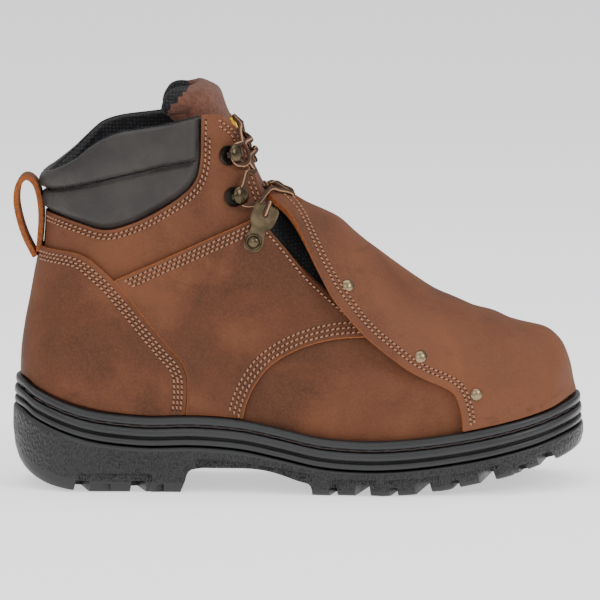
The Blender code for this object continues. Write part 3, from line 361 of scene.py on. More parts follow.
def wrap(grid, dorsal=DORSAL, join_first=False, join_last=False):
    """Both sides of the boot from one side-view grid, joined at the back, at the front or at both."""
    sides = []
    for side in (LATERAL, MEDIAL):
        points = surface(grid[..., 0], grid[..., 1], side, dorsal)
        for joins, column in ((join_first, 0), (join_last, -1)):
            if joins:
                points[:, column, 1] = centre(points[:, column, 0])
        sides.append(points)
    lateral, medial = sides
    if join_first and join_last:
        return np.concatenate([lateral, medial[:, -2:0:-1]], axis=1), True
    if join_last:
        return np.concatenate([lateral, medial[:, -2::-1]], axis=1), False
    return np.concatenate([medial[:, ::-1], lateral[:, 1:]], axis=1), False


def grid_normals(points, closed=False):
    padded = np.concatenate([points, points[:, :1]], axis=1) if closed else points
    quads = unit(np.cross(padded[1:, 1:] - padded[:-1, :-1], padded[1:, :-1] - padded[:-1, 1:]))
    total = np.zeros(points.shape)
    for down in (0, 1):
        for along in (0, 1):
            i = np.arange(quads.shape[0])[:, None] + down
            j = (np.arange(quads.shape[1])[None, :] + along) % points.shape[1]
            total[i, j] += quads
    return unit(total)


def distance_to(line, x, z):
    """Distance in the side view from each place to a line."""
    x, z = np.asarray(x, float), np.asarray(z, float)
    points = np.stack([x.ravel(), z.ravel()], -1)
    best = np.full(len(points), np.inf)
    for start, end in zip(line, line[1:]):
        run = end - start
        t = np.clip(((points - start) @ run) / max(run @ run, 1e-12), 0, 1)
        best = np.minimum(best, np.linalg.norm(points - start - t[:, None] * run, axis=1))
    return best.reshape(x.shape)


# Materials: every pattern is made by nodes in the boot's own metres


class Shader:
    """A Principled material with a few short words for the nodes that feed it."""

    def __init__(self, name, colour, roughness, **sockets):
        self.material = bpy.data.materials.new(name)
        self.material.use_nodes = True
        self.tree = self.material.node_tree
        self.shader = self.tree.nodes["Principled BSDF"]
        for key, value in {"Base Color": (*colour, 1), "Roughness": roughness, **sockets}.items():
            self.shader.inputs[key.replace("_", " ")].default_value = value
        self.place = self.node("TexCoord", {}).outputs["Object"]
        self.last_bump = None

    def node(self, kind, inputs, **settings):
        """A new node with its settings, each input linked or set."""
        made = self.tree.nodes.new("ShaderNode" + kind)
        for key, value in settings.items():
            setattr(made, key, value)
        for key, value in inputs.items():
            self.link(value, made.inputs[key])
        return made

    def link(self, source, socket):
        if isinstance(source, bpy.types.NodeSocket):
            self.tree.links.new(source, socket)
        elif isinstance(source, tuple) and len(source) < len(socket.default_value):
            socket.default_value = (*source, 1)
        else:
            socket.default_value = source

    def stretched(self, x, y, z, turn=(0, 0, 0), place=None):
        inputs = {"Scale": (x, y, z), "Rotation": turn, "Vector": place or self.place}
        return self.node("Mapping", inputs).outputs["Vector"]

    def noise(self, scale, detail=4.0, rough=0.55, twist=0.0, place=None):
        inputs = {"Scale": scale, "Detail": detail, "Roughness": rough, "Distortion": twist}
        return self.node("TexNoise", {**inputs, "Vector": place or self.place}).outputs["Fac"]

    def cells(self, scale, feature="F1", place=None, random=1.0):
        inputs = {"Scale": scale, "Randomness": random, "Vector": place or self.place}
        return self.node("TexVoronoi", inputs, feature=feature).outputs["Distance"]

    def waves(self, scale, direction, place=None):
        inputs = {"Scale": scale, "Vector": place or self.place}
        return self.node("TexWave", inputs, bands_direction=direction).outputs["Fac"]

    def spread(self, value, low, high, out_low=0.0, out_high=1.0):
        inputs = {"Value": value, "From Min": low, "From Max": high, "To Min": out_low, "To Max": out_high}
        return self.node("MapRange", inputs, interpolation_type="SMOOTHSTEP").outputs["Result"]

    def blend(self, value, low, high, a, b, most=1.0):
        """From colour a to colour b, or to a share of it, as the value goes from low to high."""
        inputs = {0: self.spread(value, low, high, 0.0, most), 6: a, 7: b}
        return self.node("Mix", inputs, data_type="RGBA").outputs[2]

    def bump(self, height_from, distance, strength):
        inputs = {"Distance": distance, "Strength": strength, "Height": height_from}
        if self.last_bump:
            inputs["Normal"] = self.last_bump
        self.last_bump = self.node("Bump", inputs).outputs["Normal"]
        self.link(self.last_bump, self.shader.inputs["Normal"])

    def colour(self, source):
        self.link(source, self.shader.inputs["Base Color"])

    def gloss(self, source):
        self.link(source, self.shader.inputs["Roughness"])


def times(factor, colour):
    return tuple(min(1.0, factor * c) for c in colour)


def leather_material(name, dark, middle, light):
    """Oiled leather: broad and fine clouds of colour, dark smudges and a pebbled grain."""
    m = Shader(name, middle, 0.68, Specular_IOR_Level=0.2)
    broad = m.noise(9, 4, 0.55, 0.8)
    cloud = m.noise(22, 5, 0.58, 0.5)
    fine = m.noise(900, 3, 0.6)
    smudge = m.noise(26, 5, 0.62, 1.6, m.stretched(1.0, 1.0, 1.8, (0.3, 0.6, 0)))
    base = m.blend(broad, 0.36, 0.64, dark, middle)
    base = m.blend(cloud, 0.44, 0.76, base, light, 0.62)
    base = m.blend(smudge, 0.54, 0.8, base, times(0.66, dark), 0.55)
    base = m.blend(m.noise(170, 5, 0.7, 0.4), 0.6, 0.8, base, times(0.75, dark), 0.3)
    m.colour(m.blend(fine, 0.3, 0.75, base, times(1.25, light), 0.2))
    m.gloss(m.spread(cloud, 0.35, 0.75, 0.6, 0.8))
    m.bump(cloud, 0.0006, 0.25)
    m.bump(m.cells(700, "SMOOTH_F1"), 0.00016, 0.45)
    m.bump(fine, 0.0002, 0.5)
    return m.material


def raw_edge_material():
    m = Shader("raw_edge", (0.25, 0.08, 0.028), 0.9, Specular_IOR_Level=0.12)
    grain = m.noise(500, 5, 0.7)
    m.colour(m.blend(grain, 0.3, 0.7, (0.19, 0.058, 0.02), (0.32, 0.105, 0.037)))
    m.bump(grain, 0.0004, 0.8)
    return m.material


def suede_material(name, dark, light):
    m = Shader(name, dark, 0.97, Specular_IOR_Level=0.08, Sheen_Weight=0.1, Sheen_Roughness=0.6)
    nap = m.noise(420, 6, 0.75)
    base = m.blend(nap, 0.32, 0.68, dark, light)
    m.colour(m.blend(m.noise(40, 3, 0.6, 0.6), 0.35, 0.7, base, times(0.7, dark), 0.5))
    m.bump(nap, 0.0007, 0.8)
    return m.material


def pad_material():
    m = Shader("pad_leather", (0.052, 0.048, 0.046), 0.48, Specular_IOR_Level=0.32)
    cloud = m.noise(60, 4, 0.6, 0.4)
    m.colour(m.blend(cloud, 0.3, 0.75, (0.024, 0.021, 0.0195), (0.04, 0.0355, 0.0325)))
    m.gloss(m.spread(cloud, 0.3, 0.7, 0.42, 0.56))
    m.bump(m.cells(780), 0.0003, 0.5)
    m.bump(m.noise(160, 4, 0.6, 0.5), 0.0005, 0.3)
    return m.material


def lining_material():
    sheen = {"Sheen_Weight": 0.05, "Sheen_Roughness": 0.5}
    m = Shader("lining_mesh", (0.012, 0.012, 0.013), 0.85, Specular_IOR_Level=0.25, **sheen)
    cell = m.cells(520, random=0.25)
    m.colour(m.blend(cell, 0.1, 0.6, (0.026, 0.027, 0.03), (0.006, 0.006, 0.007)))
    m.bump(cell, 0.0009, 0.8)
    return m.material


def thread_material(name, colour, dark):
    m = Shader(name, colour, 0.7, Specular_IOR_Level=0.3)
    twist = m.waves(900, "DIAGONAL")
    m.colour(m.blend(twist, 0.2, 0.8, dark, colour))
    m.bump(twist, 0.00012, 0.8)
    return m.material


def rubber_material(name, colour, stipple):
    """Black rubber: smooth, or crinkled as far as the stipple says."""
    m = Shader(name, colour, 0.42, Specular_IOR_Level=0.5)
    cloud = m.noise(34, 4, 0.6)
    base = m.blend(cloud, 0.3, 0.75, times(0.78, colour), times(1.25, colour))
    m.colour(m.blend(m.noise(240, 5, 0.7), 0.62, 0.85, base, times(2.2, colour), 0.35))
    m.gloss(m.spread(cloud, 0.3, 0.7, 0.34, 0.5))
    if stipple:
        m.bump(m.cells(560, "F1", m.stretched(1.5, 1, 0.8, (0, 0.7, 0))), 0.0022, stipple)
        m.bump(m.noise(420, 4, 0.7, 1.0), 0.001, 0.6)
    else:
        m.bump(m.noise(700, 3, 0.6), 0.00012, 0.4)
    return m.material


def brass_material(name, colour, dark, roughness):
    m = Shader(name, colour, roughness, Metallic=1.0)
    worn = m.noise(140, 4, 0.55, 0.4)
    m.colour(m.blend(worn, 0.3, 0.8, dark, colour))
    m.gloss(m.spread(worn, 0.3, 0.7, roughness - 0.06, roughness + 0.08))
    m.bump(m.noise(1500, 2), 0.00006, 0.5)
    return m.material


def lace_material():
    """A dark braid with one tan stripe along it, laid out by the cord's own UV."""
    m = Shader("lace_cord", (0.06, 0.03, 0.018), 0.8, Specular_IOR_Level=0.25)
    uv = m.node("TexCoord", {}).outputs["UV"]
    braid = m.waves(1.0, "DIAGONAL", m.stretched(300, 5.0, 1, place=uv))
    stripe = m.waves(1.0, "Y", m.stretched(1, 0.62, 1, place=uv))
    dark = m.blend(braid, 0.3, 0.7, (0.034, 0.017, 0.011), (0.085, 0.042, 0.025))
    tan = m.blend(braid, 0.3, 0.7, (0.32, 0.17, 0.09), (0.52, 0.3, 0.17))
    m.colour(m.blend(stripe, 0.86, 0.95, dark, tan))
    m.bump(braid, 0.0003, 0.8)
    return m.material


def plain_material(name, colour, roughness, grain=300):
    m = Shader(name, colour, roughness, Specular_IOR_Level=0.3)
    n = m.noise(grain, 4, 0.6)
    m.colour(m.blend(n, 0.3, 0.7, times(0.82, colour), times(1.12, colour)))
    m.bump(n, 0.0003, 0.6)
    return m.material


LEATHERS = dict(
    main=leather_material("leather_main", (0.072, 0.0252, 0.0118), (0.131, 0.0462, 0.0212), (0.195, 0.0735, 0.0345)),
    flap=leather_material("leather_flap", (0.09, 0.032, 0.015), (0.148, 0.053, 0.025), (0.205, 0.079, 0.039)),
)
RAW = raw_edge_material()
SUEDE = suede_material("suede_tongue", (0.1, 0.04, 0.026), (0.175, 0.078, 0.052))
PAD = pad_material()
LINING = lining_material()
MAIN = [LEATHERS["main"], RAW, LINING]
THREAD = thread_material("thread", (0.46, 0.245, 0.15), (0.25, 0.12, 0.07))
# Painted shade: a dark colour for the flat discs that stand for the needle holes beside each stitch.
NEEDLE_HOLE_SHADE = plain_material("needle_hole_shade", (0.035, 0.012, 0.008), 0.9)
RUBBER = rubber_material("rubber_smooth", (0.0135, 0.0138, 0.015), 0)
STIPPLED = rubber_material("rubber_stippled", (0.0165, 0.0165, 0.0175), 0.9)
BRASS = brass_material("antique_brass", (0.13, 0.098, 0.058), (0.06, 0.045, 0.027), 0.26)
DARK_BRASS = brass_material("darkened_brass", (0.085, 0.072, 0.055), (0.03, 0.026, 0.021), 0.42)
LACE = lace_material()
RIVET = brass_material("rivet_nickel", (0.36, 0.275, 0.165), (0.21, 0.155, 0.09), 0.28)
WELT_THREAD = plain_material("welt_thread", (0.055, 0.04, 0.036), 0.75, 900)
FOAM = plain_material("foot_bed", (0.1, 0.1, 0.11), 0.9, 500)
LABEL = plain_material("woven_tab", (0.86, 0.52, 0.03), 0.75, 900)


# Mesh helpers


def facing(points, row, column, axis):
    """The grid, turned over where its normal at one place points against the axis."""
    return points if grid_normals(points)[row, column] @ axis >= 0 else points[:, ::-1]


def build(name, points, faces, materials, slot, nodes=(), indices=None, smooth=True):
    """One piece of the boot from points in the drawing's frame, with its slot and the CAD nodes it stands for."""
    mesh = bpy.data.meshes.new(name)
    mesh.from_pydata((np.asarray(points).reshape(-1, 3) - SHIFT).tolist(), [], [tuple(map(int, f)) for f in faces])
    mesh.validate()
    for material in materials:
        mesh.materials.append(material)
    if indices is not None and len(indices) == len(mesh.polygons):
        mesh.polygons.foreach_set("material_index", np.asarray(indices, np.int32))
    if smooth:
        mesh.shade_smooth()
    made = bpy.data.objects.new(name, mesh)
    bpy.context.scene.collection.objects.link(made)
    made["slot_name"] = slot
    made["stands_for"] = ",".join(nodes)
    return made


def settle(made, angle=None, cutters=()):
    """Cuts, applies the modifiers and hands the piece to the frame; edges sharper than the angle stay hard."""
    for shape in cutters:
        boolean = made.modifiers.new(shape.name, "BOOLEAN")
        boolean.object = shape
        boolean.operation = "DIFFERENCE"
        boolean.solver = "EXACT"
        boolean.material_mode = "TRANSFER"
    bpy.context.view_layer.update()
    if made.modifiers:
        mesh = bpy.data.meshes.new_from_object(made.evaluated_get(bpy.context.evaluated_depsgraph_get()))
        made.modifiers.clear()
        made.data = mesh
    for shape in cutters:
        bpy.data.objects.remove(shape)
    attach(made, "root")
    nodes = [n for n in made["stands_for"].split(",") if n]
    if nodes:
        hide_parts(*nodes)
    del made["slot_name"], made["stands_for"]
    if angle:
        made.data.set_sharp_from_angle(angle=math.radians(angle))
    return made


def grid_faces(rows, columns, closed):
    span = columns if closed else columns - 1
    j, i = np.meshgrid(np.arange(rows - 1), np.arange(span), indexing="ij")
    k = (i + 1) % columns
    low, high = j * columns, (j + 1) * columns
    return np.stack([low + i, low + k, high + k, high + i], -1).reshape(-1, 4)


def thicken(made, wall, rim, inside, bevel, segments=2):
    """Wall on the inner side, with its own material on the rim and inside, and a softened edge."""
    solid = made.modifiers.new("Wall", "SOLIDIFY")
    solid.thickness = wall
    solid.offset = -1
    solid.use_even_offset = False
    solid.material_offset_rim = rim
    solid.material_offset = inside
    if bevel:
        soft = made.modifiers.new("Soft edge", "BEVEL")
        soft.width = bevel
        soft.segments = segments
        soft.limit_method = "ANGLE"
        soft.angle_limit = math.radians(50)
        soft.harden_normals = False
        soft.material = rim or -1
    return made


def skin(name, points, wall, materials, slot, nodes, closed=False, rim=1, inside=2, bevel=0.0, segments=2):
    made = build(name, points, grid_faces(*points.shape[:2], closed), materials, slot, nodes)
    return thicken(made, wall, rim, inside, bevel, segments)


def mended(made, weld=0.0, turn=True):
    """The piece with near points welded and its faces turned outward."""
    shape = bmesh.new()
    shape.from_mesh(made.data)
    if weld:
        bmesh.ops.remove_doubles(shape, verts=shape.verts, dist=weld)
    if turn:
        bmesh.ops.recalc_face_normals(shape, faces=shape.faces)
    shape.to_mesh(made.data)
    shape.free()
    return made


def cutter(name, points, faces, material, weld=0.0):
    """A hidden shape to cut with; its material lines the cut."""
    made = mended(build(name, points, faces, [material], "leather", smooth=False), weld)
    made.hide_render = True
    return made


def prism_faces(count):
    """Faces between two rings of points, with both ends closed."""
    walls = [(k, count + k, count + (k + 1) % count, (k + 1) % count) for k in range(count)]
    return [tuple(range(count)), tuple(reversed(range(count, 2 * count))), *walls]


def side_cutter(name, outline, material):
    """A side-view outline carried right across the boot."""
    points = [(x, side * BALL_WIDTH, z) for side in (LATERAL, MEDIAL) for x, z in outline]
    return cutter(name, points, prism_faces(len(outline)), material)


def turns(count):
    return 2 * math.pi * np.arange(count) / count


def turned(profile, place, axis, radius=1.0, steps=28):
    """Points and faces of a round piece from (share of radius, height) pairs, set on a surface along its axis."""
    n = unit(axis)
    a = unit(np.cross(n, (0.0, 0.0, 1.0) if abs(n[2]) < 0.9 else (1.0, 0.0, 0.0)))
    b = np.cross(n, a)
    rings = [(max(share * radius, 1e-5), h) for share, h in profile]
    points = [place + n * h + r * (math.cos(t) * a + math.sin(t) * b) for r, h in rings for t in turns(steps)]
    return np.array(points), grid_faces(len(profile), steps, True)


def tube(route, radius, sides, flat=1.0):
    """Points and faces of a cord along a route; flat below 1 makes it oval."""
    route = np.asarray(route, float)
    ways = unit(np.gradient(route, axis=0))
    a = unit(np.cross(ways[0], (0.13, 0.31, 0.94)))
    angle = turns(sides)[:, None]
    rings = []
    for p, t in zip(route, ways):
        a = unit(a - t * (a @ t))
        rings.append(p + radius * (np.cos(angle) * a + flat * np.sin(angle) * np.cross(t, a)))
    last = (len(route) - 1) * sides
    caps = [list(range(sides))[::-1], [last + i for i in range(sides)]]
    return np.vstack(rings), [*grid_faces(len(route), sides, True).tolist(), *caps]


def joined(parts):
    """Several (points, faces) put in one."""
    points, faces, start = [], [], 0
    for p, f in parts:
        points.append(p)
        faces.extend([[start + i for i in face] for face in f])
        start += len(p)
    return np.vstack(points), faces


def over_welt(x):
    return np.maximum(WELT.z_at(x - 0.0035), WELT.z_at(x + 0.0035)) + 2 * GAP


def on_line(low, high, count, function):
    x = np.linspace(low, high, count)
    return Line(np.stack([x, function(x)], -1))


# Where each panel ends in the side view
COUNTER_RIM = Line(np.vstack([side_line(COUNTER_TOP).samples[:-1], side_line(COUNTER_FRONT).samples[::-1]]))
TOP_RIM, THROAT_RIM, ARC_RIM = side_line(QUARTER_TOP), side_line(QUARTER_THROAT), side_line(QUARTER_ARC)
FLAP_RIM = side_line(FLAP_EDGE)


def flap_out(x, z):
    """How far the flap stands off its own line: lift, soft creases, a curled free edge, and dimples at the rivets."""
    x, z = np.asarray(x, float), np.asarray(z, float)
    lift = (FLAP + 3.6 * GAP) * (1 - smooth_step(x, 0.93 * LENGTH, 0.985 * LENGTH))
    free = smooth_step(z, height(0.1), height(0.26)) * (1 - smooth_step(z, height(0.62), height(0.72)))
    curl = np.exp(-((distance_to(FLAP_RIM.samples[::5], x, z) / 0.012) ** 2))
    out = lift + creases(x, z, FLAP_CREASES) + 0.0022 * free * curl
    for s, v in RIVETS:
        out = out - 0.0005 * np.exp(-((np.hypot(x - s * LENGTH, z - height(v)) / 0.0065) ** 2))
    return out


def seen(px, py):
    """The side-view place of a spot of the picture on the boot's outer side, whose camera looks down by 7 degrees."""
    y = -0.035
    return (px - 14) * PIXEL, ((492 - py) * PIXEL - 0.0055 - 0.1219 * y) / 0.9925


def creases(x, z, table):
    """Soft troughs, or ridges where the depth is negative, along (route on the picture, width, depth)."""
    total = np.zeros(np.shape(x))
    for route, width, depth in table:
        line = smooth_route([seen(*spot) for spot in route], 4)
        total = total - depth * np.exp(-((distance_to(line, x, z) / width) ** 2))
    return total


VAMP_CREASES = (
    (((250, 405), (285, 372), (330, 358), (380, 356), (420, 372)), 0.005, 0.0006),
    (((270, 412), (310, 392), (360, 384), (410, 390), (445, 402)), 0.006, 0.0005),
    (((200, 300), (212, 330), (216, 365), (210, 400)), 0.006, 0.0005),
    (((262, 262), (246, 290), (236, 320), (234, 350)), 0.0075, 0.0006),
    (((285, 275), (276, 300), (268, 325)), 0.0055, 0.0005),
    (((140, 250), (180, 236), (220, 218), (238, 205)), 0.006, 0.0006),
    (((70, 225), (110, 243), (140, 245)), 0.006, 0.0004),
    (((205, 150), (203, 185), (190, 212)), 0.005, 0.0005),
    (((60, 275), (66, 310), (60, 350), (52, 380)), 0.008, 0.0006),
    (((90, 290), (112, 320), (130, 350), (136, 385)), 0.007, 0.0004),
)
FLAP_CREASES = (
    (((300, 222), (320, 232), (345, 240), (366, 250)), 0.006, 0.0007),
    (((318, 214), (338, 222), (352, 232), (360, 244)), 0.005, -0.0006),
    (((352, 262), (378, 282), (402, 296), (430, 304)), 0.007, 0.0006),
    (((372, 256), (400, 276), (430, 290), (462, 300)), 0.0065, -0.0005),
    (((450, 330), (478, 322), (500, 318), (520, 324)), 0.0055, 0.0008),
    (((470, 345), (498, 338), (520, 340), (545, 352)), 0.008, -0.0006),
    (((330, 268), (352, 292), (372, 312), (392, 330)), 0.0055, 0.0005),
    (((400, 330), (424, 342), (446, 360), (458, 385)), 0.007, 0.0005),
    (((520, 360), (528, 380), (524, 402)), 0.0075, 0.0005),
)


# The leather upper


def creased(points, closed, most, out=0.0):
    """Wrapped leather moved out, with the vamp's creases pressed into it."""
    relief = np.minimum(creases(points[..., 0], points[..., 2], VAMP_CREASES), most)
    return points + grid_normals(points, closed) * (out + relief)[..., None]


def make_upper():
    columns, rows = 130, 84
    foot = on_line(BACK.x_at(height(0.0)), DORSAL.x_at(height(0.0)), 60, lambda x: WELT.z_at(x) - WELT_HEIGHT + GAP)
    left = clipped(BACK, foot.samples[0, 1], COLLAR.samples[0, 1])
    right = clipped(DORSAL, foot.samples[-1, 1], COLLAR.samples[-1, 1])
    points, closed = wrap(patch(foot, COLLAR, left, right, rows, both_ends(columns)), join_first=True, join_last=True)
    made = skin("upper_leather", creased(points, closed, 0.0002), LEATHER, MAIN, "leather", ["upper"], closed)
    sky, behind = 2 * height(1), -0.1 * LENGTH
    scoop = SCOOP.at(np.linspace(0, 1, 60))
    window = [(behind, scoop[0][1]), *map(tuple, scoop), (scoop[-1][0], sky), (behind, sky)]
    throat = THROAT.at(np.linspace(0, 1, 70))
    slit = [*map(tuple, throat), (throat[-1][0], sky), (throat[0][0], sky)]
    settle(made, 38, [side_cutter("scoop", window, RAW), side_cutter("throat", slit, RAW)])


def make_counter():
    rows, columns = 46, 60
    right = clipped(side_line(COUNTER_FRONT), over_welt(0.303 * LENGTH), height(COUNTER_FRONT[-1][1]))
    top = side_line(COUNTER_TOP)
    top.samples[-1] = right.samples[-1]
    left = clipped(BACK, over_welt(0.019 * LENGTH), top.samples[0, 1])
    bottom = on_line(left.samples[0, 0], right.samples[0, 0], 60, over_welt)
    points, closed = wrap(patch(bottom, top, left, right, rows, one_end(columns, last=False)), join_first=True)
    points = creased(points, closed, 0.0003, COUNTER + 2 * GAP)
    settle(skin("heel_counter_leather", points, COUNTER, MAIN, "leather", ["heel_counter"], bevel=0.0007), 50)


def quarter_edge():
    """The outline of a quarter panel: welt, arc, throat, top, and a strip under the counter's edge."""
    arc = clipped(ARC_RIM, over_welt(0.406 * LENGTH), ARC_RIM.samples[-1, 1]).samples
    under = COUNTER_RIM.moved(0.0004).samples[::-1]
    under = under[(under[:, 1] > over_welt(0.304 * LENGTH)) & (under[:, 0] > QUARTER_TOP[0][0] * LENGTH)]
    foot = on_line(under[0, 0], arc[0, 0], 24, over_welt).samples
    return np.vstack([
        foot[:-1], arc[:-1], THROAT_RIM.samples[::-1][:-1], TOP_RIM.samples[::-1][:-1], under[::-1][:-1],
    ])


def flat_mesh(edge, cell):
    """Points and triangles that fill a side-view outline."""
    ring = Line(np.vstack([edge, edge[:1]]))
    edge = ring.at(np.linspace(0, 1, int(run_along(ring.samples)[-1] / (0.8 * cell)), endpoint=False))
    low, high = edge.min(axis=0), edge.max(axis=0)
    gx, gz = np.meshgrid(np.arange(low[0], high[0], cell), np.arange(low[1], high[1], cell))
    gx = gx + (np.arange(gx.shape[0]) % 2)[:, None] * cell / 2
    inner = np.stack([gx.ravel(), gz.ravel()], -1)
    px, pz = inner[:, :1], inner[:, 1:]
    ax, az = edge.T
    bx, bz = np.roll(ax, -1), np.roll(az, -1)
    along = (pz - az[None]) / np.where(bz == az, 1e-12, bz - az)[None]
    crossings = ((az[None] > pz) != (bz[None] > pz)) & (px < (bx - ax)[None] * along + ax[None])
    away = distance_to(np.vstack([edge, edge[:1]]), inner[:, 0], inner[:, 1])
    inner = inner[(crossings.sum(axis=1) % 2 == 1) & (away > 0.6 * cell)]
    around = [(i, (i + 1) % len(edge)) for i in range(len(edge))]
    spots = [Vector(p) for p in [*edge, *inner]]
    flat, _, faces, *_ = delaunay_2d_cdt(spots, around, [list(range(len(edge)))], 1, 1e-7)
    return np.array([tuple(v) for v in flat]), faces


def make_quarters():
    at, faces = flat_mesh(quarter_edge(), 0.0022)
    x, z = at.T
    out = QUARTER_LAY + OVERLAY + 0.6 * np.clip(creases(x, z, VAMP_CREASES), -0.0009, 0.0)
    for side, word in SIDES:
        points = surface(x, z, side) + surface_normal(x, z, side) * out[:, None]
        turned_faces = faces if side == LATERAL else [tuple(reversed(f)) for f in faces]
        made = build(f"quarter_{word}_leather", points, turned_faces, MAIN, "leather", [f"quarter_{word}"])
        settle(thicken(made, OVERLAY, 1, 2, 0.0006), 50)


def lace_slot(side):
    """The oval hole through which the lace goes under the flap."""
    x, count = SLOT_STATION * LENGTH, 20
    way = unit((1.0, 0, (RIDGE.z_at(x + 0.005) - RIDGE.z_at(x - 0.005)) / 0.01))
    middle = np.array([x, side * 0.0068, RIDGE.z_at(x)])
    across, rise = np.array([0, 1, 0]), np.array([-way[2], 0, way[0]])
    ring = [(0.0062 * math.cos(t), 0.0021 * math.sin(t)) for t in turns(count)]
    points = [middle + way * (a - 0.35 * b) + across * b + rise * h for h in (-0.012, 0.012) for a, b in ring]
    return cutter(f"slot_{side + 1}", points, prism_faces(count), RAW)


def make_flap():
    rows, columns = 92, 66
    left, right = (
        clipped(line, over_welt(station * LENGTH), line.samples[-1, 1])
        for line, station in ((FLAP_RIM, 0.784), (RIDGE, 0.996))
    )
    bottom = on_line(left.samples[0, 0], right.samples[0, 0], 60, over_welt)
    top = Line([left.samples[-1], right.samples[-1]])
    points, _ = wrap(patch(bottom, top, left, right, rows, one_end(columns, last=True)), dorsal=RIDGE, join_last=True)
    points = points + grid_normals(points) * flap_out(points[..., 0], points[..., 2])[..., None]
    materials = [LEATHERS["flap"], RAW, SUEDE]
    made = skin("guard_flap_leather", points, FLAP, materials, "leather", ["guard_flap"], bevel=0.0014, segments=3)
    settle(made, 50, [lace_slot(side) for side in (LATERAL, MEDIAL)])


# Padded pieces


def loop_faces(rows, columns):
    """A tube of rings, each ring one column's closed section."""
    i, j = np.meshgrid(np.arange(columns - 1), np.arange(rows), indexing="ij")
    k = (j + 1) % rows
    return np.stack([i * rows + j, (i + 1) * rows + j, (i + 1) * rows + k, i * rows + k], -1).reshape(-1, 4)


def pad_depth(x, z):
    """Distance in from the edge of the leather that frames the collar; negative under the leather."""
    line = SCOOP.samples
    low = line[:, 0] < 0.305 * LENGTH
    above = z > np.interp(x, line[low, 0], line[low, 1])
    behind = x < np.interp(z, line[~low, 1], line[~low, 0])
    inside = np.where(x < 0.3 * LENGTH, above, behind) | (x < line[0, 0])
    return np.where(inside, 1, -1) * distance_to(line[::4], x, z)


def collar_section(rows, columns):
    """The collar's outer face in the side view wrapped round the heel, tucked under the leather below and in front."""
    tuck = 0.003
    edge = SCOOP.moved(-tuck).samples
    edge = edge[edge[:, 0] > SCOOP.samples[0, 0] - 0.001]
    corner = np.argmin(np.abs(edge[:, 1] - height(0.78)))
    bottom = Line(edge[: corner + 1])
    cap = Line(COLLAR.samples - (0, 0.0016))
    right_x = 0.333 * LENGTH + tuck
    top = clipped(cap, cap.samples[0, 0], right_x, axis=0)
    left = clipped(BACK, bottom.samples[0, 1], top.samples[0, 1])
    right = Line(np.vstack([bottom.samples[-1], edge[corner + 6 :: 6], top.samples[-1]]))
    grid = patch(bottom, top, left, right, rows, one_end(columns, last=False))
    grid[..., 0] = np.minimum(grid[..., 0], right_x)
    return wrap(grid, join_first=True)[0]


def make_collar_pad():
    """Two stuffed rolls, turned over at the top into the mesh lining."""
    rows = 44
    points = collar_section(rows, 84)
    count = points.shape[1]
    x, z = points[..., 0].copy(), points[..., 2].copy()
    share = np.clip((z - SEAM.z_at(x)) / (COLLAR.z_at(x) - SEAM.z_at(x)), 0, 1)
    stations = (0.05, 0.085, 0.118, 0.194, 0.27, 0.334)
    near = np.interp(x / LENGTH, stations, (0.0034, 0.005, 0.0066, 0.003, 0.0022, 0.0014))
    far = np.interp(x / LENGTH, (0.05, 0.08, 0.11, 0.15), (0.0034, 0.0034, 0.0028, 0))
    points[..., 2] -= np.where(points[..., 1] < 0, near, far) * share**1.3
    n = grid_normals(points)
    v = np.linspace(0, 1, rows + 1)[:, None]
    around = np.linspace(-1, 1, count)[None, :]
    over = z - SEAM.z_at(x)
    seam = np.array([np.interp(0.0, over[:, i], v[:, 0]) for i in range(count)])[None, :]
    deep = pad_depth(x, z)
    low_roll = np.sin(math.pi * np.clip(v / seam, 0, 1) ** 0.9) ** 0.5
    high_roll = np.sin(math.pi * np.clip((v - seam) / (1.1 - seam), 0, 1) ** 0.85) ** 0.5
    wave = np.sin(2 * math.pi * (np.abs(around) * 15 + 0.35 * np.sin(9 * around)))
    pucker = 0.0003 * wave * np.exp(-(np.abs(over) / 0.006))
    pucker = pucker + 0.00022 * np.sin(2 * math.pi * (around * 5 + v * 1.3)) * np.sin(math.pi * v)
    puff = np.where(v < seam, 0.0026 * low_roll, 0.004 * high_roll) + pucker
    puff = puff - 0.0026 * np.exp(-((over / 0.0011) ** 2)) * smooth_step(deep, 0.0005, 0.004)
    outer = points + n * (smooth_step(deep, -0.0012, 0.005) * (0.003 + puff) - 0.003)[..., None]
    inner = points - n * 0.0078
    half, middle = (outer[-1] - inner[-1]) / 2, (outer[-1] + inner[-1]) / 2
    lip_rise = np.array([0, 0, 0.002])
    lip = [middle + half * math.cos(k) + lip_rise * math.sin(k) for k in np.linspace(0, math.pi, 11)[1:-1]]
    section = np.concatenate([outer, np.array(lip), inner[::-1]])
    size = len(section)
    indices = np.where(np.tile(np.arange(size), count - 1) < rows + 4, 0, 1)
    ends = [tuple(range(size)), tuple((count - 1) * size + i for i in reversed(range(size)))]
    faces = [*loop_faces(size, count), *ends]
    rings = section.transpose(1, 0, 2)
    made = build("collar_pad_quilted", rings, faces, [PAD, LINING], "pad", ["collar_pad"], [*indices, 0, 0])
    settle(mended(made))
    pad_seam(section, rows, seam[0])


def pad_seam(section, rows, seam):
    """The thread that holds the two rolls of the collar apart, and the piping where its leather meets the lining."""
    share = seam * rows
    base = np.clip(np.floor(share).astype(int), 0, rows - 1)
    mix = (share - base)[:, None]
    columns = np.arange(section.shape[1])
    along = section[base, columns] * (1 - mix) + section[base + 1, columns] * mix
    cords = [tube(along[4:-4], 0.00042, 6), tube(section[rows + 5][1:-1], 0.0006, 6)]
    settle(build("collar_pad_seams", *joined(cords), [LINING], "pad"))


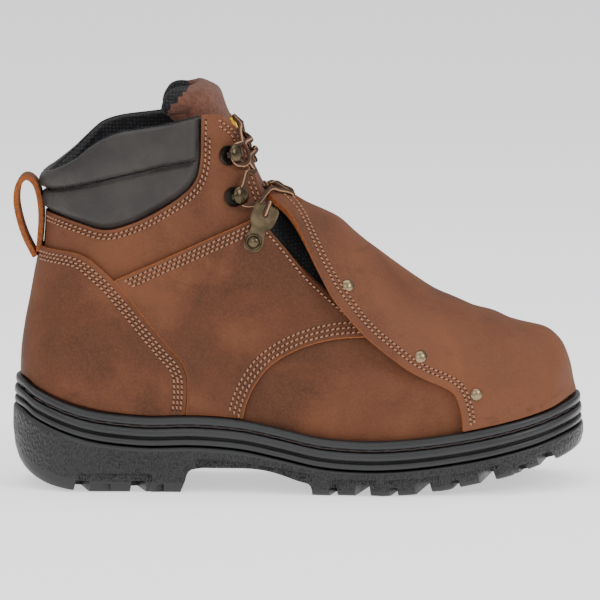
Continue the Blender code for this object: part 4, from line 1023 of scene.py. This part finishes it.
def cushion(name, points, out_by, in_by, materials, slot, nodes, pick, rim):
    """A closed pad on an open grid: both faces bulge from one shared rim. pick gives each face its material."""
    n = grid_normals(points)
    u, w = (
        np.insert(np.cumsum(np.linalg.norm(np.diff(points, axis=axis), axis=2), axis=axis), 0, 0, axis=axis)
        for axis in (1, 0)
    )
    near = np.minimum(np.minimum(u, u[:, -1:] - u), np.minimum(w, w[-1:] - w))
    full = np.sqrt(np.clip(1 - (1 - np.clip(near / rim, 0, 1)) ** 2, 0, 1))
    faces = grid_faces(*points.shape[:2], False)
    sheets, indices = [], []
    for front, by in ((True, out_by), (False, -in_by)):
        sheets.append((points + n * (by * full)[..., None]).reshape(-1, 3))
        indices += [pick(sheets[-1][f].mean(axis=0), near.ravel()[f].mean(), front) for f in faces]
    faces = [*faces, *(faces[:, ::-1] + len(sheets[0]))]
    return mended(build(name, np.concatenate(sheets), faces, materials, slot, nodes, indices), 1e-6, turn=False)


def tongue_dent(z):
    """How much further the tongue sinks in behind the upper hooks."""
    return 0.0024 * smooth_step(z, height(0.8), height(0.92)) * (1 - smooth_step(z, height(1.01), height(1.08)))


TONGUE_CREASES = (
    (((188, 90), (200, 100), (208, 116)), 0.0035, 0.0009),
    (((172, 112), (186, 106), (200, 110)), 0.0035, 0.0007),
)


def make_tongue():
    """A suede tongue with a dark lining, raised at its top and sunk behind the upper hooks."""
    rows, columns = 120, 40
    halves = []
    for side in (LATERAL, MEDIAL):
        outline = TONGUE_SIDES[side]
        bottom = side_line((outline[0], (0.645, 0.365), TONGUE_RIDGE[0]))
        top = side_line((outline[-1], (0.316, 1.101), TONGUE_RIDGE[-1]))
        grid = patch(bottom, top, side_line(outline), TONGUE_TOP, rows, one_end(columns, last=True))
        half = surface(grid[..., 0], grid[..., 1], side, TONGUE_TOP)
        half[:, -1, 1] = centre(half[:, -1, 0])
        halves.append(half)
    points = np.concatenate([halves[0], halves[1][:, -2::-1]], axis=1)
    x, z = points[..., 0], points[..., 2]
    fold = np.clip(creases(x, z, TONGUE_CREASES), -0.001, 0)
    behind = (1 - smooth_step(x, 0.322 * LENGTH, 0.345 * LENGTH)) * (1 - smooth_step(z, height(1.02), height(1.08)))
    deep = TONGUE_LAY + 0.0032 + tongue_dent(z) + 0.0056 * behind
    points = points - grid_normals(points) * (deep - fold)[..., None]
    points[..., 2] += 0.003 * smooth_step(z, height(0.97), height(1.06))
    border = np.array([(s * LENGTH, height(v)) for s, v in LINING_EDGE])

    def pick(middle, near, front):
        x, z = middle[0], middle[2]
        under_flap = z < height(0.7) - 0.25 * (x - 0.4 * LENGTH)
        folded_back = z > border[0, 1] and x < np.interp(z, border[:, 1], border[:, 0])
        if not front or under_flap or folded_back:
            return 1
        return 2 if near < 0.0011 and z < height(0.97) else 0

    made = cushion("tongue_padded", points, 0.003, 0.0032, [SUEDE, LINING, RAW], "suede", ["tongue"], pick, 0.0045)
    settle(made)


def make_label():
    """A plain woven label on the tongue, with a dark band at each end."""
    rows = []
    for z in height(np.linspace(0.93, 0.99, 21)):
        xs = np.linspace(TONGUE_TOP.x_at(z) - 0.025, TONGUE_TOP.x_at(z), 200)
        widths = half_width(xs, z, MEDIAL, TONGUE_TOP)
        rows.append([(np.interp(-abs(y), -widths, xs), y, z) for y in np.linspace(-0.012, 0.012, 25)])
    points = facing(np.array(rows), 1, 12, np.array([1, 0, 0]))
    ripple = 0.0003 * np.sin(np.linspace(0, 3 * math.pi, 25))[None, :, None]
    sunk = TONGUE_LAY - 0.0004 - GAP + ripple + tongue_dent(points[..., 2])[..., None]
    points = points - grid_normals(points) * sunk
    name, materials = "tongue_label_woven", [LABEL, LINING]
    made = skin(name, points, 0.0007, materials, "label", ["tongue_label"], rim=0, inside=0, bevel=0.0002)
    for polygon in made.data.polygons:
        if not height(0.938) <= polygon.center.z <= height(0.974):
            polygon.material_index = 1
    settle(made, 38)


def make_pull_loop():
    """A leather strap in the middle plane, doubled over behind the heel."""
    share = (
        (0.0455, 0.528), (0.0484, 0.59), (0.05, 0.645), (0.048, 0.7), (0.0415, 0.748), (0.031, 0.772),
        (0.0195, 0.773), (0.0095, 0.745), (0.0065, 0.695), (0.012, 0.635), (0.0215, 0.58), (0.033, 0.535),
        (0.0395, 0.512),
    )
    width, thickness = 0.02, 0.003
    route = smooth_route([(x * LENGTH, height(v)) for x, v in share], 9)
    t = unit(np.gradient(route, axis=0))
    base = route + np.stack([t[:, 1], -t[:, 0]], -1) * (thickness / 2)
    points = np.array([[(x, y, z) for y in np.linspace(-width / 2, width / 2, 13)] for x, z in base])
    if ((points - points.reshape(-1, 3).mean(axis=0)) * grid_normals(points)).sum() < 0:
        points = points[:, ::-1]
    materials = [LEATHERS["main"], RAW, RAW]
    settle(skin("pull_loop_strap", points, thickness, materials, "leather", ["pull_loop"], bevel=0.0005), 50)


# Stitching


def row_in_space(flat, side, lift, dorsal=DORSAL):
    """Places and normals on the boot of a side-view route, without what the welt would hide."""
    x, z = flat[flat[:, 1] > over_welt(flat[:, 0]) + 0.0004].T
    out = (lift(x, z) if callable(lift) else lift) + THREAD_LIFT
    n = surface_normal(x, z, side, dorsal)
    return surface(x, z, side, dorsal) + n * np.broadcast_to(out, len(x))[:, None], n


def stitches(route, normals, pitch, share=0.7, radius=0.00047, phase=0.0):
    """Short humped threads along a route, and between them dark discs: painted shade that stands for the needle holes.
    """
    run = run_along(route)
    angle = turns(STITCH_SIDES)[None, :, None]

    def frame_at(s):
        at, ahead, behind, n = (
            np.stack([np.interp(where, run, column) for column in table.T], -1)
            for where, table in ((s, route), (s + 1e-4, route), (s - 1e-4, route), (s, normals))
        )
        t = unit(ahead - behind)
        return at, n, t, np.cross(n, t)

    start = phase + np.arange(int((run[-1] - phase) / pitch)) * pitch
    # (share of the thread, rise, thickness), the last two in radii
    profile = ((0.0, -0.8, 0.55), (0.14, 0.15, 1.0), (0.5, 0.55, 1.05), (0.86, 0.15, 1.0), (1.0, -0.8, 0.55))
    rings = []
    for along, rise, thick in profile:
        at, n, _, b = frame_at(start + along * share * pitch)
        at = at + n * (rise * radius) + b * STITCH_SLANT * (along * 2 - 1)
        rings.append(at[:, None] + radius * thick * (np.cos(angle) * b[:, None] + np.sin(angle) * n[:, None]))
    first = np.arange(len(start)) * len(profile) * STITCH_SIDES
    faces = grid_faces(len(profile), STITCH_SIDES, True)[None] + first[:, None, None]
    spots = start + (share + 1) / 2 * pitch
    at, n, t, b = frame_at(spots[spots < run[-1]])
    # Flat dark discs a hair above the leather between the threads: painted shade for the needle holes, which are not
    # cut.
    holes = (at + n * 0.00007)[:, None] + NEEDLE_RADIUS * (np.cos(angle) * t[:, None] + np.sin(angle) * b[:, None])
    return np.stack(rings, 1).reshape(-1, 3), faces.reshape(-1, 4).tolist(), holes


def sewn(name, rows, pitch):
    """Rows of stitches as one piece, each row half a pitch on: threads in the first material, the painted shade of the
    needle holes in the second.
    """
    parts, indices = [], []
    for k, (route, normals) in enumerate(rows):
        points, faces, holes = stitches(route, normals, pitch, phase=k * pitch / 2)
        rims = np.arange(len(holes) * STITCH_SIDES).reshape(-1, STITCH_SIDES).tolist()
        parts += [(points, faces), (holes.reshape(-1, 3), rims)]
        indices += [0] * len(faces) + [1] * len(rims)
    settle(build(name, *joined(parts), [THREAD, NEEDLE_HOLE_SHADE], "leather", indices=indices))


def make_stitching():
    counter_out, quarter_out, pitch = COUNTER + 2 * GAP, QUARTER_LAY + OVERLAY, 0.0029
    three = (0.0026, 0.0047, 0.0068)
    counter_top = side_line(COUNTER_TOP).samples
    groups = {
        "counter": ([COUNTER_RIM.moved(-d).samples for d in three], counter_out, pitch),
        "quarter_top": ([TOP_RIM.moved(-d).samples[12:-4] for d in three], quarter_out, pitch),
        "quarter_front": ([ARC_RIM.moved(d).samples for d in (0.0026, 0.0052, 0.0078)], quarter_out, pitch),
        "quarter_throat": ([THROAT_RIM.moved(-0.002).samples], quarter_out, 0.0028),
        "collar": ([SCOOP.moved(-0.0024).samples, SCOOP.moved(-0.0045).samples[:-20]], 0.0, pitch),
    }
    for side, word in SIDES:
        for key, (lines, lift, step) in groups.items():
            rows = []
            for flat in lines:
                x, z = flat.T
                keep = x > BACK.x_at(z) + 0.0012
                if key == "quarter_top":
                    keep &= (x >= 0.3 * LENGTH) | (z > np.interp(x, counter_top[:, 0], counter_top[:, 1]))
                rows.append(row_in_space(Line(flat[keep]).at(np.linspace(0, 1, 200)), side, lift))
            sewn(f"stitching_{key}_{word}", rows, step)
        spans = ((0.0022, 0.066, 0.36), (0.0045, 0.078, 0.35))
        rows = [row_in_space(THROAT.moved(-d).at(np.linspace(low, high, 160)), side, 0) for d, low, high in spans]
        sewn(f"stitching_eyestay_{word}", rows, 0.003)
        lines = [FLAP_RIM.moved(-d).at(np.linspace(0.03, 0.97, 160)) for d in (0.0042, 0.0062)]
        sewn(f"stitching_flap_{word}", [row_in_space(flat, side, flap_out, RIDGE) for flat in lines], 0.0027)


# Hardware


def on_boot(place, side, out=0.0, dorsal=DORSAL):
    x, z = place[0] * LENGTH, height(place[1])
    n = surface_normal(x, z, side, dorsal)
    return surface(x, z, side, dorsal) + n * out, n


def hook_frame(spot, side, out=0.0):
    """A place on the boot, and the directions out of it, forward along it and up along it."""
    place, n = on_boot(spot, side, out)
    forward = np.array([1, 0, 0.15])
    forward = unit(forward - n * (forward @ n))
    up = np.cross(n, forward)
    return place, n, forward, unit(up if up[2] > 0 else -up)


def metal(name, parts, nodes, materials, kinds=()):
    """Metal parts in one piece; kinds gives each part its material."""
    indices = [kind for kind, (_, faces) in zip(kinds, parts) for _ in faces]
    settle(build(name, *joined(parts), materials, "antique_brass", nodes, indices), 44)


def make_rivets():
    head = (
        (0, 0.00185), (0.25, 0.0018), (0.5, 0.0016), (0.74, 0.0012), (0.9, 0.00065), (0.97, 0.0002),
        (0.95, -0.0004),
    )
    ring = ((0.9, -0.0002), (0.98, 0.00012), (1.06, 0.0001), (1.1, -0.0003))
    for side, word in SIDES:
        for number, spot in enumerate(RIVETS, 1):
            place, n = on_boot(spot, side, 0.0, RIDGE)
            place = place + n * (float(flap_out(place[0], place[2])) - 0.0003)
            parts = [turned(profile, place, n, RIVET_RADIUS) for profile in (head, ring)]
            metal(f"rivet_{word}_{number}_cap", parts, [f"rivet_{word}_{number}"], [RIVET, DARK_BRASS], (0, 1))


def make_hooks():
    """Lace hooks: a pressed base, a short stalk and a leaning domed cap."""
    base = ((0, 0.0004), (0.8, 0.0004), (0.88, 0.0011), (0.98, 0.0012), (1.05, 0.0006), (1.06, 0))
    dome = (
        (0, 0.0022), (0.3, 0.00212), (0.58, 0.0018), (0.8, 0.00125), (0.94, 0.0006), (1, -0.0001),
        (0.97, -0.0006), (0.8, -0.0008), (0, -0.0009),
    )
    for side, word in SIDES:
        for number, spot in enumerate(HOOKS, 1):
            place, n, forward, _ = hook_frame(spot, side, 0.0004)
            lean = unit(0.9 * n + 0.44 * forward)
            cap = place + forward * 0.003 + n * 0.0036 + np.array([0, 0, 0.0004])
            stem = (place + n * 0.0002 - forward * 0.001, place + (n + forward) * 0.0016, cap - lean * 0.0006)
            stalk = tube(smooth_route(stem, 6), 0.0019, 12)
            parts = [turned(base, place, n, 0.0052), turned(dome, cap, lean, 0.0054), stalk]
            metal(f"hook_{word}_{number}_domed", parts, [f"hook_{word}_{number}"], [BRASS, DARK_BRASS], (1, 0, 1))


def clip_frame(side):
    place, n, forward, up = hook_frame(CLIP, side, OVERLAY + 7 * GAP)
    way = unit(forward * 0.5 + up * 0.866)
    return place, n, way, unit(np.cross(n, way))


def make_clips():
    """A lace clip: a riveted plate with a waist, bent up into a wide eye."""
    outline = Line(smooth_route((
        (-0.0056, 0.001), (-0.0051, 0.0032), (-0.0034, 0.0047), (0, 0.0053), (0.003, 0.0048), (0.0056, 0.0041),
        (0.0078, 0.0046), (0.01, 0.006), (0.013, 0.0068), (0.018, 0.0069), (0.0206, 0.006), (0.0214, 0.002),
    ), 24)).at(np.linspace(0, 1, 40))
    bend = ((-0.0056, 0.005, 0.0068, 0.01, 0.015, 0.0214), (0, 0, 0.0008, 0.0032, 0.0042, 0.0046))
    hole = ((0, 0.004), (0.0018, 0.004), (0.0018, -0.004), (0, -0.004))
    boss = (
        (0, 0.0021), (0.4, 0.0019), (0.72, 0.0014), (0.9, 0.0006), (0.92, 0.0002), (1.14, 0.0005),
        (1.24, 0.0002), (1.26, -0.0004),
    )
    for side, word in SIDES:
        place, n, way, across = clip_frame(side)
        points = []
        for a, w in outline:
            middle = place + way * a
            rise = np.interp(a, *bend) + 0.0011
            points.append([
                middle + n * (rise + 0.0003 * math.cos(t * 1.4)) + across * w * t for t in np.linspace(-1, 1, 13)
            ])
        points, node = facing(np.array(points), 20, 6, n), f"lace_clip_{word}"
        plate = skin(f"{node}_plate", points, 0.0011, [BRASS], "antique_brass", [node], rim=0, inside=0, bevel=0.00025)
        settle(plate, 40, [cutter("eye", *turned(hole, place + way * 0.016 + n * 0.005, n), DARK_BRASS, 5e-5)])
        rivet = turned(boss, place + n * 0.0021 - way * 0.0004, n, RIVET_RADIUS)
        metal(f"{node}_rivet", [rivet], [], [BRASS])


def make_eyelets():
    """A small eyelet on each side, in the gusset below the flap."""
    x, z = 0.4765 * LENGTH, height(0.545)
    ring = ((0.0014, -0.0003), (0.0016, 0.0004), (0.0023, 0.0005), (0.0027, -0.0003))
    for side, word in SIDES:
        n = surface_normal(x, z, side, TONGUE_TOP)
        at = surface(x, z, side, TONGUE_TOP) - n * (TONGUE_LAY - 0.0006)
        metal(f"gusset_eyelet_{word}", [turned(ring, at, n, steps=24)], [], [DARK_BRASS])


# Laces


def cord_piece(name, routes, nodes=()):
    """Cords along routes, with a UV layer that runs along and round each of them."""
    sides = 10
    parts, along = [], []
    for route in routes:
        route = smooth_route(route, 7)
        parts.append(tube(route, 0.0014, sides, 0.78))
        along.extend(np.repeat(run_along(route), sides))
    made = build(name, *joined(parts), [LACE], "lace", nodes)
    layer = made.data.uv_layers.new(name="run")
    for polygon in made.data.polygons:
        ids = [made.data.loops[i].vertex_index for i in polygon.loop_indices]
        turn = [v % sides / sides for v in ids]
        wrapped = max(turn) - min(turn) > 0.5
        for loop, vertex, share in zip(polygon.loop_indices, ids, turn):
            layer.data[loop].uv = (along[vertex], share + (1.0 if wrapped and share < 0.5 else 0.0))
    settle(made)


def lace_spot(kind, side, a, b, c):
    """A place of the lace, by what it lies on.

    On a hook: along, up and out. On the tongue: height, how far ahead of the shaft, to the side.
    On the flap: station, to the side of its ridge, out.
    """
    if kind in ("high", "low"):
        place, n, forward, up = hook_frame(HOOKS[kind == "low"], side)
        return place + forward * a + up * b + n * c
    if kind == "tongue":
        return np.array([DORSAL.x_at(height(a)) + b, side * c, height(a)])
    x = a * LENGTH
    drops = RIDGE.z_at(x) - np.linspace(0.0001, 0.02, 120)
    z = float(np.interp(b, half_width(np.full(120, x), drops, side, RIDGE), drops))
    return surface(x, z, side, RIDGE) + surface_normal(x, z, side, RIDGE) * (float(flap_out(x, z)) + c)


LACE_ROUTES = (
    (
        ("tongue", 0.975, -0.006, 0.004), ("tongue", 0.95, -0.0036, 0.01), ("high", 0.0092, 0.012, 0.001),
        ("high", 0.008, 0.0062, 0.003), ("high", 0.0058, 0.0056, 0.0044), ("high", 0.0026, 0.0044, 0.0028),
        ("high", 0.001, 0, 0.0024), ("high", 0.0026, -0.0048, 0.003), ("high", 0.0066, -0.0062, 0.0046),
        ("high", 0.0098, -0.0042, 0.0044), ("high", 0.0108, 0.0005, 0.0036), ("high", 0.0098, 0.005, 0.0022),
        ("tongue", 0.9, -0.0016, 0.006), ("tongue", 0.896, -0.0008, -0.002),
    ),
    (
        ("tongue", 0.868, -0.0008, -0.006), ("tongue", 0.862, -0.0006, 0.004), ("high", 0.0112, -0.004, 0.0024),
        ("high", 0.0138, -0.01, 0.0024), ("low", 0.0085, 0.012, 0.004), ("low", 0.0052, 0.006, 0.0048),
        ("low", 0.003, 0.003, 0.0036), ("low", 0.0022, -0.001, 0.0026), ("low", 0.0036, -0.0046, 0.0034),
        ("low", 0.008, -0.0058, 0.0044), ("low", 0.0125, -0.0046, 0.004), ("flap", 0.446, 0.0165, 0.0026),
        ("flap", 0.458, 0.012, 0.0014), ("flap", 0.47, 0.0092, 0.0013), ("flap", 0.479, 0.0076, 0.0012),
        ("flap", 0.484, 0.007, 0.0002), ("flap", 0.487, 0.0066, -0.0045),
    ),
    (
        ("tongue", 0.748, -0.0046, -0.01), ("tongue", 0.742, -0.003, -0.002), ("flap", 0.45, 0.005, 0.0014),
        ("flap", 0.464, 0.0056, 0.0012), ("flap", 0.474, 0.006, 0.0012), ("flap", 0.481, 0.0064, 0.0008),
        ("flap", 0.485, 0.0066, -0.0045),
    ),
)
CLIP_LOOP = (
    (-0.0002, 0.0004), (0.0022, 0.0022), (0.0058, 0.0016), (0.0068, -0.0014), (0.0052, -0.0042),
    (0.001, -0.005),
)


def make_laces():
    """The lace where it shows: round the hooks, across the tongue, down into the flap's slots, through the clips."""
    routes, loops = [], []
    for side in (LATERAL, MEDIAL):
        routes += [[lace_spot(kind, side, *at) for kind, *at in route] for route in LACE_ROUTES]
        place, n, way, _ = clip_frame(side)
        eye = place + way * 0.016 + n * 0.0056
        loops.append([eye + way * a + n * h for a, h in CLIP_LOOP])
    cord_piece("lace_run", routes, ["laces"])
    cord_piece("lace_at_clips", loops)


# Sole


def rings_at(levels, stations):
    """Closed rings round the sole from (outward, height by x) pairs."""
    rings = []
    for out, z_of in levels:
        ring = sole_outline(out, stations)
        rings.append(np.column_stack([ring, z_of(ring[:, 0])]))
    return np.array(rings)


def ring_levels(name, levels, materials, nodes, stations, pick=None, relief=None):
    """A closed body from rings, whose ends are strips across the sole. pick gives each side face its material."""
    points = rings_at(levels, stations)
    if relief:
        points = relief(points)
    count = points.shape[1]
    faces = grid_faces(len(points), count, True).tolist()
    indices = [pick(points.reshape(-1, 3)[f].mean(axis=0)) if pick else 0 for f in faces]
    for base, flip in ((0, True), ((len(points) - 1) * count, False)):
        for i in range(stations):
            across = (i, i + 1, (count - i - 1) % count, (count - i) % count)
            ids = list(dict.fromkeys(base + k for k in across))
            if len(ids) > 2:
                faces.append(ids[::-1] if flip else ids)
                indices.append(0)
    return build(name, points, faces, materials, "rubber", nodes, indices)


def below_welt(depth):
    return lambda x: WELT.z_at(x) - depth


def make_welt():
    profile = (
        (-0.0006, 0.0058), (0.0034, 0.0058), (0.0036, 0.0056), (0.0036, 0.0047), (0.004, 0.0044), (0.0049, 0.0043),
        (0.0052, 0.004), (0.0053, 0.003), (0.0052, 0.0017), (0.0048, 0.0009), (0.004, 0.0003), (0.0028, 0),
        (0.0014, -0.0001), (0.0004, 0.0002), (-0.0006, 0.001),
    )
    points = rings_at([(out, below_welt(depth)) for out, depth in profile], 200)
    rows, count = points.shape[:2]
    faces, last = grid_faces(rows, count, True).tolist(), (rows - 1) * count
    faces += [[last + i, last + (i + 1) % count, (i + 1) % count, i] for i in range(count)]
    settle(build("welt_ribbed", points, faces, [RUBBER], "rubber", ["welt"]), 40)
    ring, outward = sole_outline(0.0037, 400), sole_outline(0.0047, 400)
    route = np.column_stack([ring, WELT.z_at(ring[:, 0]) - 0.0052])
    n = unit(np.column_stack([outward - ring, np.zeros(len(ring))]))
    route, n = (np.vstack([rows, rows[:1]]) for rows in (route, n))
    points, faces, _ = stitches(route, n, 0.0095, 0.84, 0.00048)
    settle(build("welt_stitching", points, faces, [WELT_THREAD], "rubber"))


def make_midsole():
    """One soft double rib round the sole, with a seat for the insole."""
    top, low = WELT_HEIGHT + GAP, WELT_HEIGHT + 3 * GAP + MIDSOLE_HEIGHT
    rib = WELT_MARGIN + 0.0004
    shape = (
        (0, -0.001), (0.015, -0.0003), (0.05, 0.0002), (0.16, 0.0004), (0.27, 0.0003), (0.33, -0.0001),
        (0.36, -0.0008), (0.39, -0.0018), (0.43, -0.002), (0.47, -0.0018), (0.5, -0.0008), (0.53, -0.0001),
        (0.58, 0.0003), (0.72, 0.0004), (0.88, 0.0002), (0.95, -0.0002), (0.985, -0.0009), (1, -0.0022),
    )
    levels = [(rib + out, below_welt(low - share * (low - top))) for share, out in shape]
    levels += [(-0.003, below_welt(WELT_HEIGHT + 3 * GAP)), (-0.0036, SEAT.z_at)]
    settle(ring_levels("midsole_ribbed", levels, [RUBBER], ["midsole"], 200), 40)


def groove_box(station, side, width, depth, inner):
    """A box that cuts one groove into the tread, slanted and wider at its mouth."""
    x = station * LENGTH
    near, far = inner * BALL_WIDTH, 0.75 * BALL_WIDTH
    slope = -math.atan2(TREAD.z_at(x + 0.004) - TREAD.z_at(x - 0.004), 0.008)
    slant = math.radians(14) * side * (-1 if station < 0.3 else 1)
    corners = np.array([(a, b, c) for a in (-0.5, 0.5) for b in (-0.5, 0.5) for c in (-0.5, 0.5)])
    corners = corners * (width, far - near, 2 * depth)
    corners[corners[:, 2] < 0, 0] *= 1.25
    cy, sy, cz, sz = math.cos(slope), math.sin(slope), math.cos(slant), math.sin(slant)
    turn = np.array([(cz * cy, -sz, cz * sy), (sz * cy, cz, sz * sy), (-sy, 0, cy)])
    faces = [(0, 1, 3, 2), (4, 6, 7, 5), (0, 4, 5, 1), (2, 3, 7, 6), (0, 2, 6, 4), (1, 5, 7, 3)]
    return corners @ turn.T + (x, centre(x) + side * (near + far) / 2, TREAD.z_at(x)), faces


SIDE_PANELS = (
    (0.116, 0.245, 0.01), (0.56, 0.64, 0.0088), (0.655, 0.745, 0.0088), (0.765, 0.85, 0.008),
    (0.875, 0.94, 0.007),
)


def make_outsole():
    top = WELT_HEIGHT + MIDSOLE_HEIGHT + 6 * GAP
    shares = np.concatenate([[0, 0.02, 0.06], np.linspace(0.11, 0.95, 24), [0.98, 1.0]])
    outs = np.interp(
        shares, (0, 0.02, 0.06, 0.11, 0.5, 0.9, 0.95, 0.98, 1),
        (-0.0022, -0.0013, -0.0006, 0.0001, 0.0012, 0.001, 0.0007, 0.0002, -0.0006),
    )
    levels = [
        (WELT_MARGIN + 0.0006 + out, lambda x, s=s: TREAD.z_at(x) + s * (WELT.z_at(x) - top - TREAD.z_at(x)))
        for s, out in zip(shares, outs)
    ]

    def relief(points):
        """The shallow panels pressed into the side wall above the lugs, and the lowered field at the arch."""
        x, z = points[..., 0], points[..., 2]
        along = np.roll(points[12, :, :2], -1, axis=0) - np.roll(points[12, :, :2], 1, axis=0)
        n = unit(np.column_stack([along[:, 1], -along[:, 0]]))
        low = TREAD.z_at(x)
        depth = np.zeros(x.shape)
        for first, last, reach in SIDE_PANELS:
            start, end = first * LENGTH, last * LENGTH
            across = smooth_step(x, start, start + 0.0012) * (1 - smooth_step(x, end - 0.0012, end))
            depth = depth + 0.0016 * across * (1 - smooth_step(z - low, reach - 0.0006, reach + 0.0006))
        arch = smooth_step(x, 0.318 * LENGTH, 0.334 * LENGTH) * (1 - smooth_step(x, 0.5 * LENGTH, 0.54 * LENGTH))
        share = (z - low) / np.maximum(WELT.z_at(x) - top - low, 1e-6)
        depth = depth + 0.0024 * arch * (1 - smooth_step(share, 0.7, 0.76))
        points[..., :2] -= n[None] * depth[..., None]
        return points

    def pick(middle):
        low = TREAD.z_at(middle[0])
        return int(0.22 < (middle[2] - low) / max(WELT.z_at(middle[0]) - top - low, 1e-6) < 0.93)

    made = ring_levels("outsole_lugged", levels, [RUBBER, STIPPLED], ["outsole"], 230, pick, relief)
    arch = drawn((
        (0.292, -0.3), (0.296, 0.05), (0.303, 0.45), (0.309, 0.84), (0.322, 0.98), (0.36, 1), (0.42, 1),
        (0.46, 0.86), (0.5, 0.56), (0.522, 0.38), (0.526, -0.3),
    ), 0, ARCH_HEIGHT, 4).samples
    boxes = []
    for side in (LATERAL, MEDIAL):
        boxes += [groove_box(s, side, 0.0076, 0.0062, 0.16 if s < 0.3 else 0.2) for s in GROOVES]
        boxes += [groove_box(s, side, 0.0038, 0.0046, 0.38) for s in NOTCHES]
    settle(made, 35, [side_cutter("arch", arch, RUBBER), cutter("grooves", *joined(boxes), RUBBER)])


# Floor, light and camera


def floor_material():
    """Matt white paper with a faint glow of its own, as a lit table has."""
    glow = {"Emission_Color": (1, 1, 1, 1), "Emission_Strength": 0.8}
    m = Shader("pale_floor", (0.92, 0.92, 0.92), 0.95, Specular_IOR_Level=0.1, **glow)
    m.bump(m.noise(900, 2), 0.00005, 0.3)
    return m.material


def shown(name, data):
    made = bpy.data.objects.new(name, data)
    bpy.context.scene.collection.objects.link(made)
    return made


def make_stage():
    """A plain pale floor, wide enough to fill the picture from every side."""
    line = np.linspace(-30.0, 30.0, 9)
    mesh = bpy.data.meshes.new("floor")
    mesh.from_pydata([(x, y, 0.0) for y in line for x in line], [], grid_faces(9, 9, False).tolist())
    mesh.materials.append(floor_material())
    shown("floor", mesh)


def aimed(made, place, aim):
    made.location = place
    made.rotation_euler = (Vector(aim) - Vector(place)).to_track_quat("-Z", "Y").to_euler()


def make_studio():
    world = bpy.data.worlds.new("studio")
    bpy.context.scene.world = world
    world.use_nodes = True
    back = world.node_tree.nodes["Background"]
    back.inputs["Color"].default_value = (1, 1, 1, 1)
    back.inputs["Strength"].default_value = 0.55
    for name, place, size, watts in (
        ("top", (0.0, 0.1, 1.9), (2.2, 1.6), 22), ("front", (-0.5, -2.0, 1.2), (1.6, 1.2), 13),
        ("toe", (1.5, -1.2, 1.3), (0.8, 1.0), 18), ("heel", (-1.6, -0.4, 0.9), (0.8, 1.2), 3),
    ):
        lamp = bpy.data.lights.new(name, "AREA")
        lamp.shape = "RECTANGLE"
        lamp.size, lamp.size_y = size
        lamp.energy = watts
        aimed(shown(name, lamp), place, (0, 0, 0.08))


def make_camera():
    lens = bpy.data.cameras.new("camera")
    lens.sensor_width = 36
    lens.lens = 329.5
    lens.clip_start, lens.clip_end = 0.1, 50
    aim, rise, away = Vector((0.0008, 0, 0.1)), math.radians(7), 3.0
    made = shown("camera", lens)
    aimed(made, aim + away * Vector((0, -math.cos(rise), math.sin(rise))), aim)
    bpy.context.scene.camera = made


make_camera()
make_studio()
make_stage()
make_outsole()
make_midsole()
make_welt()
make_upper()
make_counter()
make_quarters()
make_flap()
make_collar_pad()
make_tongue()
make_label()
make_pull_loop()
make_stitching()
make_rivets()
make_hooks()
make_clips()
make_eyelets()
make_laces()
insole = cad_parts["insole"]
insole.data.materials.clear()
insole.data.materials.append(FOAM)
